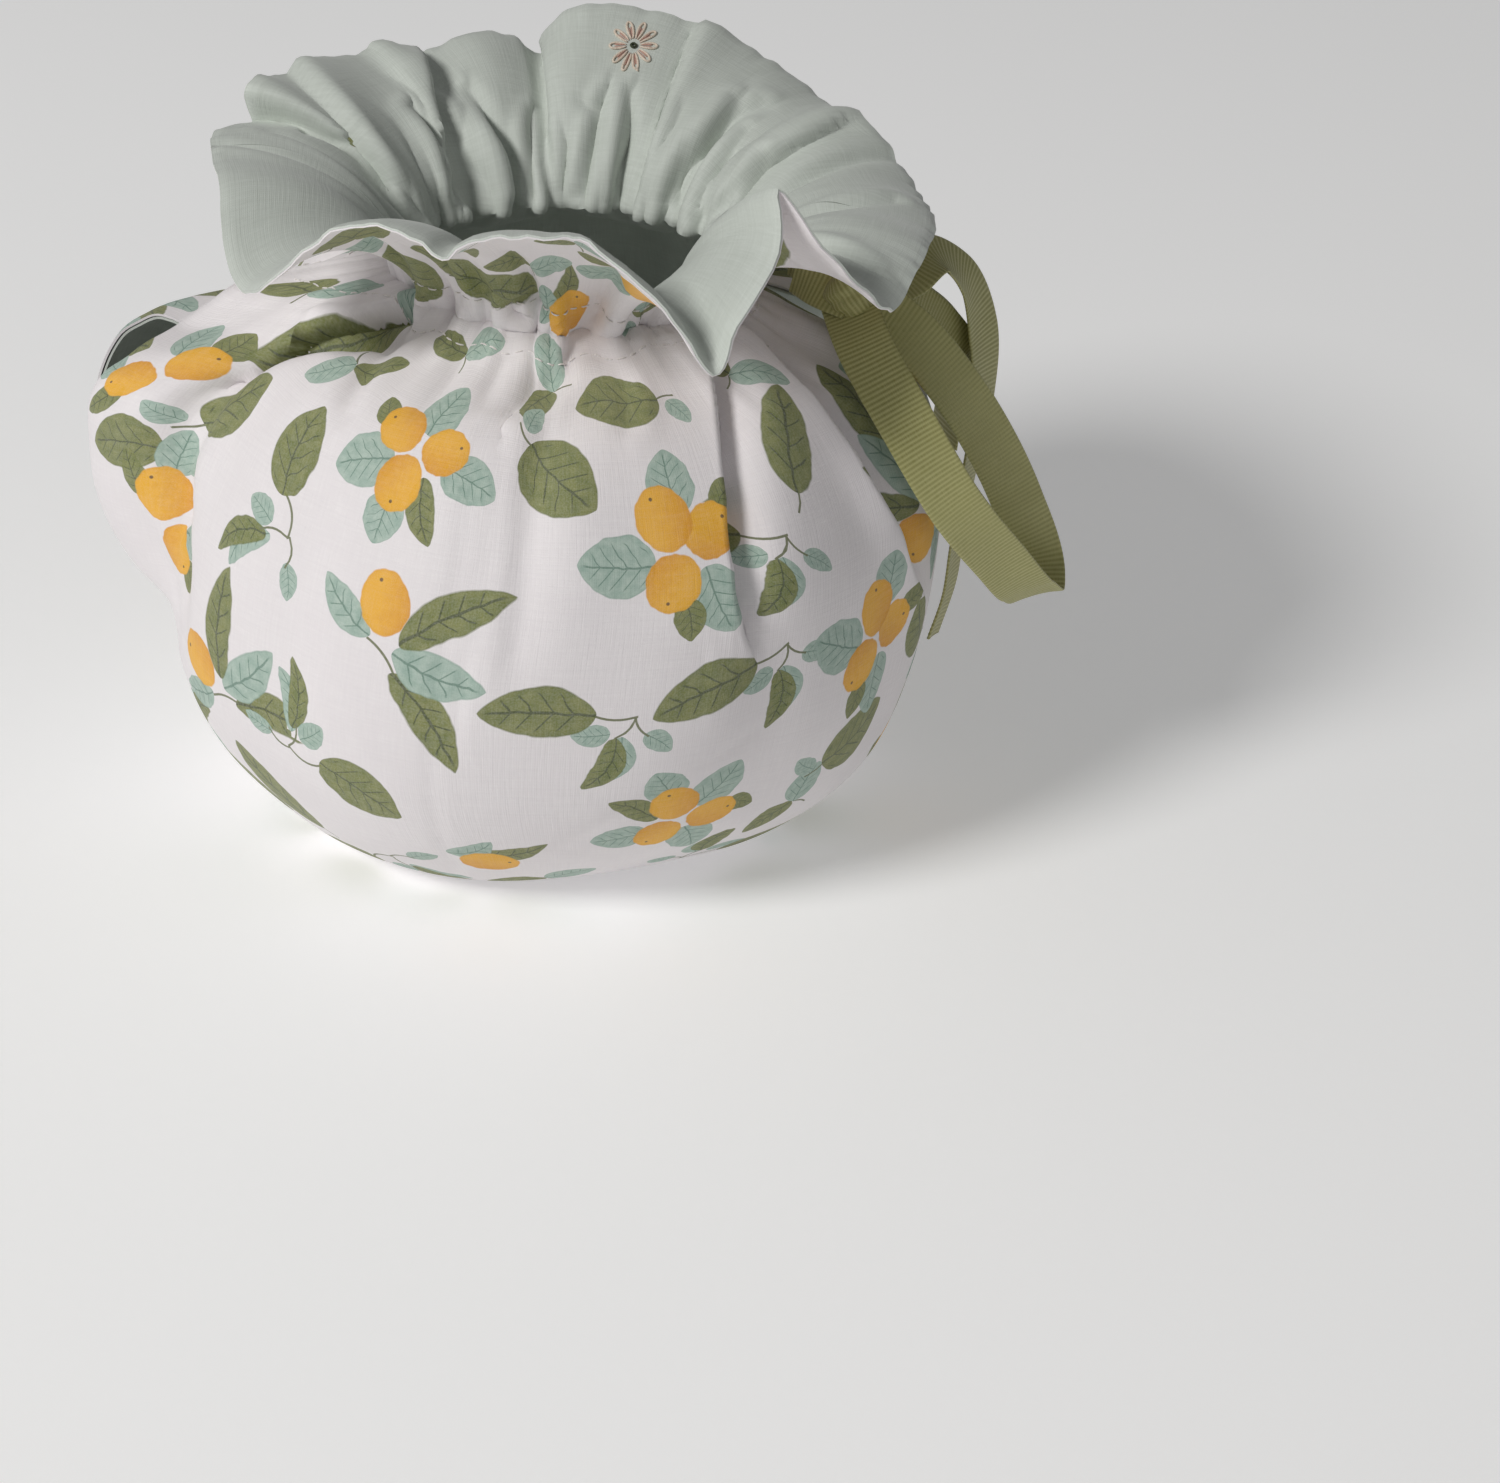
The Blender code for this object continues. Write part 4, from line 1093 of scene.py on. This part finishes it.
def ribbon_strip(rows):
    """A run of ribbed ribbon: points, faces, flat map and length."""
    rows = np.array(rows, float)
    far = np.concatenate([[0], np.cumsum(np.linalg.norm(np.diff(rows[:, :3], axis=0), axis=1))])
    table = np.column_stack([far, rows])
    coarse = spline(np.linspace(0, far[-1], 200), table)
    length = np.linalg.norm(np.diff(coarse[:, :3], axis=0), axis=1).sum() * MM
    count = int(length / RIB_PITCH * 4) + 1
    found = spline(np.linspace(0, far[-1], count), table)
    middle = found[:, :3] * MM + CENTRE
    ahead = unit(np.gradient(middle, axis=0))
    wide = unit(found[:, 3:] - (found[:, 3:] * ahead).sum(1)[:, None] * ahead)
    normal = np.cross(ahead, wide)
    s = np.linspace(0, length, count)
    cross = np.array([-1, -0.94, -0.86, -0.45, 0, 0.45, 0.86, 0.94, 1])
    rib = 0.5 + 0.5 * np.cos(2 * np.pi * s / RIB_PITCH)
    ribbed = np.interp(np.abs(cross), [0, 0.86, 0.94, 1], [1, 1, 0.15, 0])
    thick = RIBBON_SKIN * np.interp(np.abs(cross), [0, 0.94, 1], [1, 1, 0.45])
    cup = 0.0003 * (cross**2)
    spread = middle[:, None] + wide[:, None] * (cross * RIBBON_WIDTH / 2)[:, None]
    skins = []
    for side in (1, -1):
        height = side * (thick + RIB_DEPTH * rib[:, None] * ribbed) + cup
        skins.append(spread + normal[:, None] * height[..., None])
    total = count * len(cross)
    top = quads(count, len(cross))[:, ::-1]
    ring = edge_ring(count, len(cross))
    after = np.roll(ring, -1)
    side = np.column_stack([after, after + total, ring + total, ring])
    faces = np.concatenate([top, top[:, ::-1] + total, side])
    flat = np.stack(np.broadcast_arrays(s[:, None], cross * RIBBON_WIDTH / 2), -1).reshape(-1, 2)
    return np.concatenate(skins).reshape(-1, 3), faces, np.concatenate([flat, flat]), length


def ribbon_knot():
    """The band round the middle of the bow, a crumpled barrel: points, faces and flat map."""
    axis = unit(np.array([0.62, -0.28, -0.73]))
    first = unit(np.cross(axis, [0, 0, 1.0]))
    second = np.cross(axis, first)
    turn = np.linspace(0, 2 * np.pi, 140, endpoint=False)
    t = np.linspace(-1, 1, 25)
    girth = (1 - np.abs(t) ** 4) ** 0.5
    wave = 0.05 * np.cos(turn[:, None] * 2 + 1) + 0.04 * np.sin(3 * turn[:, None] + 3 * t)
    wave = wave + 0.035 * np.sin(7 * t * np.pi / 2 + 2 * np.sin(turn[:, None]))
    rib = 0.016 * np.cos(34 * turn)[:, None]
    radius = np.maximum(KNOT_RADIUS * girth * (1 + wave + rib), 0.0002)
    centre = np.array(KNOT) * MM + CENTRE
    ring = np.cos(turn)[:, None] * first + np.sin(turn)[:, None] * second
    points = centre + ring[:, None] * radius[..., None] + axis * (t * KNOT_HALF)[:, None]
    faces = quads(len(t), len(turn), wrap=True)
    flat = np.broadcast_arrays(turn[None] * KNOT_RADIUS, (t * KNOT_HALF)[:, None])
    return points.transpose(1, 0, 2).reshape(-1, 3), faces, np.stack(flat, -1).reshape(-1, 2)


def build_ribbon(made):
    """The whole ribbon as one object, and the length of its runs."""
    runs = [ribbon_strip(rows) for rows in (LEAD_A, LEAD_B, LOOP_A, LOOP_B, TAIL_A, TAIL_B)]
    parts = [run[:3] for run in runs] + [ribbon_knot()]
    starts = np.cumsum([0] + [len(points) for points, _, _ in parts])
    points = np.concatenate([points for points, _, _ in parts])
    faces = np.concatenate([faces + start for (_, faces, _), start in zip(parts, starts)])
    made_object = new_object("ribbon_bow", points, faces.tolist(), made, 75)
    add_flat_map(made_object, np.concatenate([flat for _, _, flat in parts]), faces)
    return made_object, sum(run[3] for run in runs)


# --- the scene ------------------------------------------------------------------------------------

printed, sage, olive = print_cotton(), lining_cotton(), ribbon_grosgrain()
white_thread = thread_material("white_thread", "F4F0EE", "DCD6D4")
for side, middle in (("front", 0), ("back", 180)):
    q, v = half_grid(middle, PRINT_GAP)
    skin = panel_skin(v)
    panel, faces = thin_sheet(f"{side}_print_cloth", q, v, skin, np.zeros(v.shape), printed)
    add_print(panel, faces, q, v)
    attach(panel, "root")
    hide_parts(f"{side}_panel")

    q, v = half_grid(middle, LINING_GAP)
    hidden = -LINING_BACK + 0.00032 * rim_edge(v)
    inner = -LINING_SKIN + 0.0004 * rim_edge(v)
    lining, _ = thin_sheet(f"{side}_lining_cloth", q, v, hidden, inner, sage)
    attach(lining, "root")
    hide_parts(f"{side}_lining")

    stitches = thread_object(f"{side}_casing_stitches", casing_stitches(middle), white_thread)
    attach(stitches, "root")

ribbon, ribbon_length = build_ribbon(olive)
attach(ribbon, "root")
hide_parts("drawstring_ribbon")

petals, fillings, heart = daisy()
for name, tubes, colours in (
    ("daisy_petals", petals, ("EADCCB", "D8C6B4")),
    ("daisy_fillings", fillings, ("CDA596", "B48F80")),
    ("daisy_middle", heart, ("3C4426", "2C3420")),
):
    stitched = thread_object(name, tubes, thread_material(name, *colours))
    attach(stitched, "root")

# floor, light and camera
floor_made, _, floor_shader = new_material("floor", 0.9, specular=0.1)
floor_shader.inputs["Base Color"].default_value = (0.88, 0.88, 0.88, 1)
floor_shader.inputs["Emission Color"].default_value = (1, 1, 1, 1)
floor_shader.inputs["Emission Strength"].default_value = 0.23
corners = np.array([(-4, -4, 0), (4, -4, 0), (4, 4, 0), (-4, 4, 0)])
floor = new_object("floor", corners, [(0, 1, 2, 3)], floor_made)

world = scene.world or bpy.data.worlds.new("studio")
scene.world = world
world.use_nodes = True
background = world.node_tree.nodes["Background"]
background.inputs["Color"].default_value = (1, 1, 1, 1)
background.inputs["Strength"].default_value = 0.16


LIT = (0, 0, 0.08)


def area_light(name, location, size, power, colour):
    """A round light aimed at the cosy."""
    data = bpy.data.lights.new(name, "AREA")
    data.shape, data.size, data.energy, data.color = "DISK", size, power, colour
    lamp = bpy.data.objects.new(name, data)
    lamp.location = location
    lamp.rotation_mode = "QUATERNION"
    aim = np.array(LIT) - np.array(location)
    lamp.rotation_quaternion = Vector(aim).to_track_quat("-Z", "Y")
    scene.collection.objects.link(lamp)


area_light("key", (-1.72, -1.42, 1.80), 0.75, 48, (1, 0.99, 0.975))
area_light("fill", (0.9, -0.9, 0.7), 0.9, 0.2, (0.97, 0.98, 1))

PICTURE = (1500, 1483)
AIM = np.array([0.0018, 0.0002, 0.0735])
AIM_PIXEL = (585, 497)  # where the picture shows it
DISTANCE = 0.72
FOCAL_LENGTH, SENSOR = 73.53, 36
TILT = np.radians(27.0)
ROLL = np.radians(2.0)
back = np.array([0, -np.cos(TILT), np.sin(TILT)])
right = np.array([1.0, 0, 0])
upward = np.cross(back, right)
rolled_right = right * np.cos(ROLL) + upward * np.sin(ROLL)
rolled_up = upward * np.cos(ROLL) - right * np.sin(ROLL)
data = bpy.data.cameras.new("camera")
camera = bpy.data.objects.new("camera", data)
data.lens, data.sensor_width, data.sensor_fit = FOCAL_LENGTH, SENSOR, "HORIZONTAL"
data.shift_x = (PICTURE[0] / 2 - AIM_PIXEL[0]) / PICTURE[0]
data.shift_y = (AIM_PIXEL[1] - PICTURE[1] / 2) / PICTURE[0]
data.clip_start = 0.01
turned = np.column_stack([rolled_right, rolled_up, back])
camera.matrix_world = Matrix.Translation(AIM + back * DISTANCE) @ Matrix(turned.tolist()).to_4x4()
scene.collection.objects.link(camera)
scene.camera = camera
scene.view_settings.view_transform = "Standard"
scene.view_settings.look = "None"
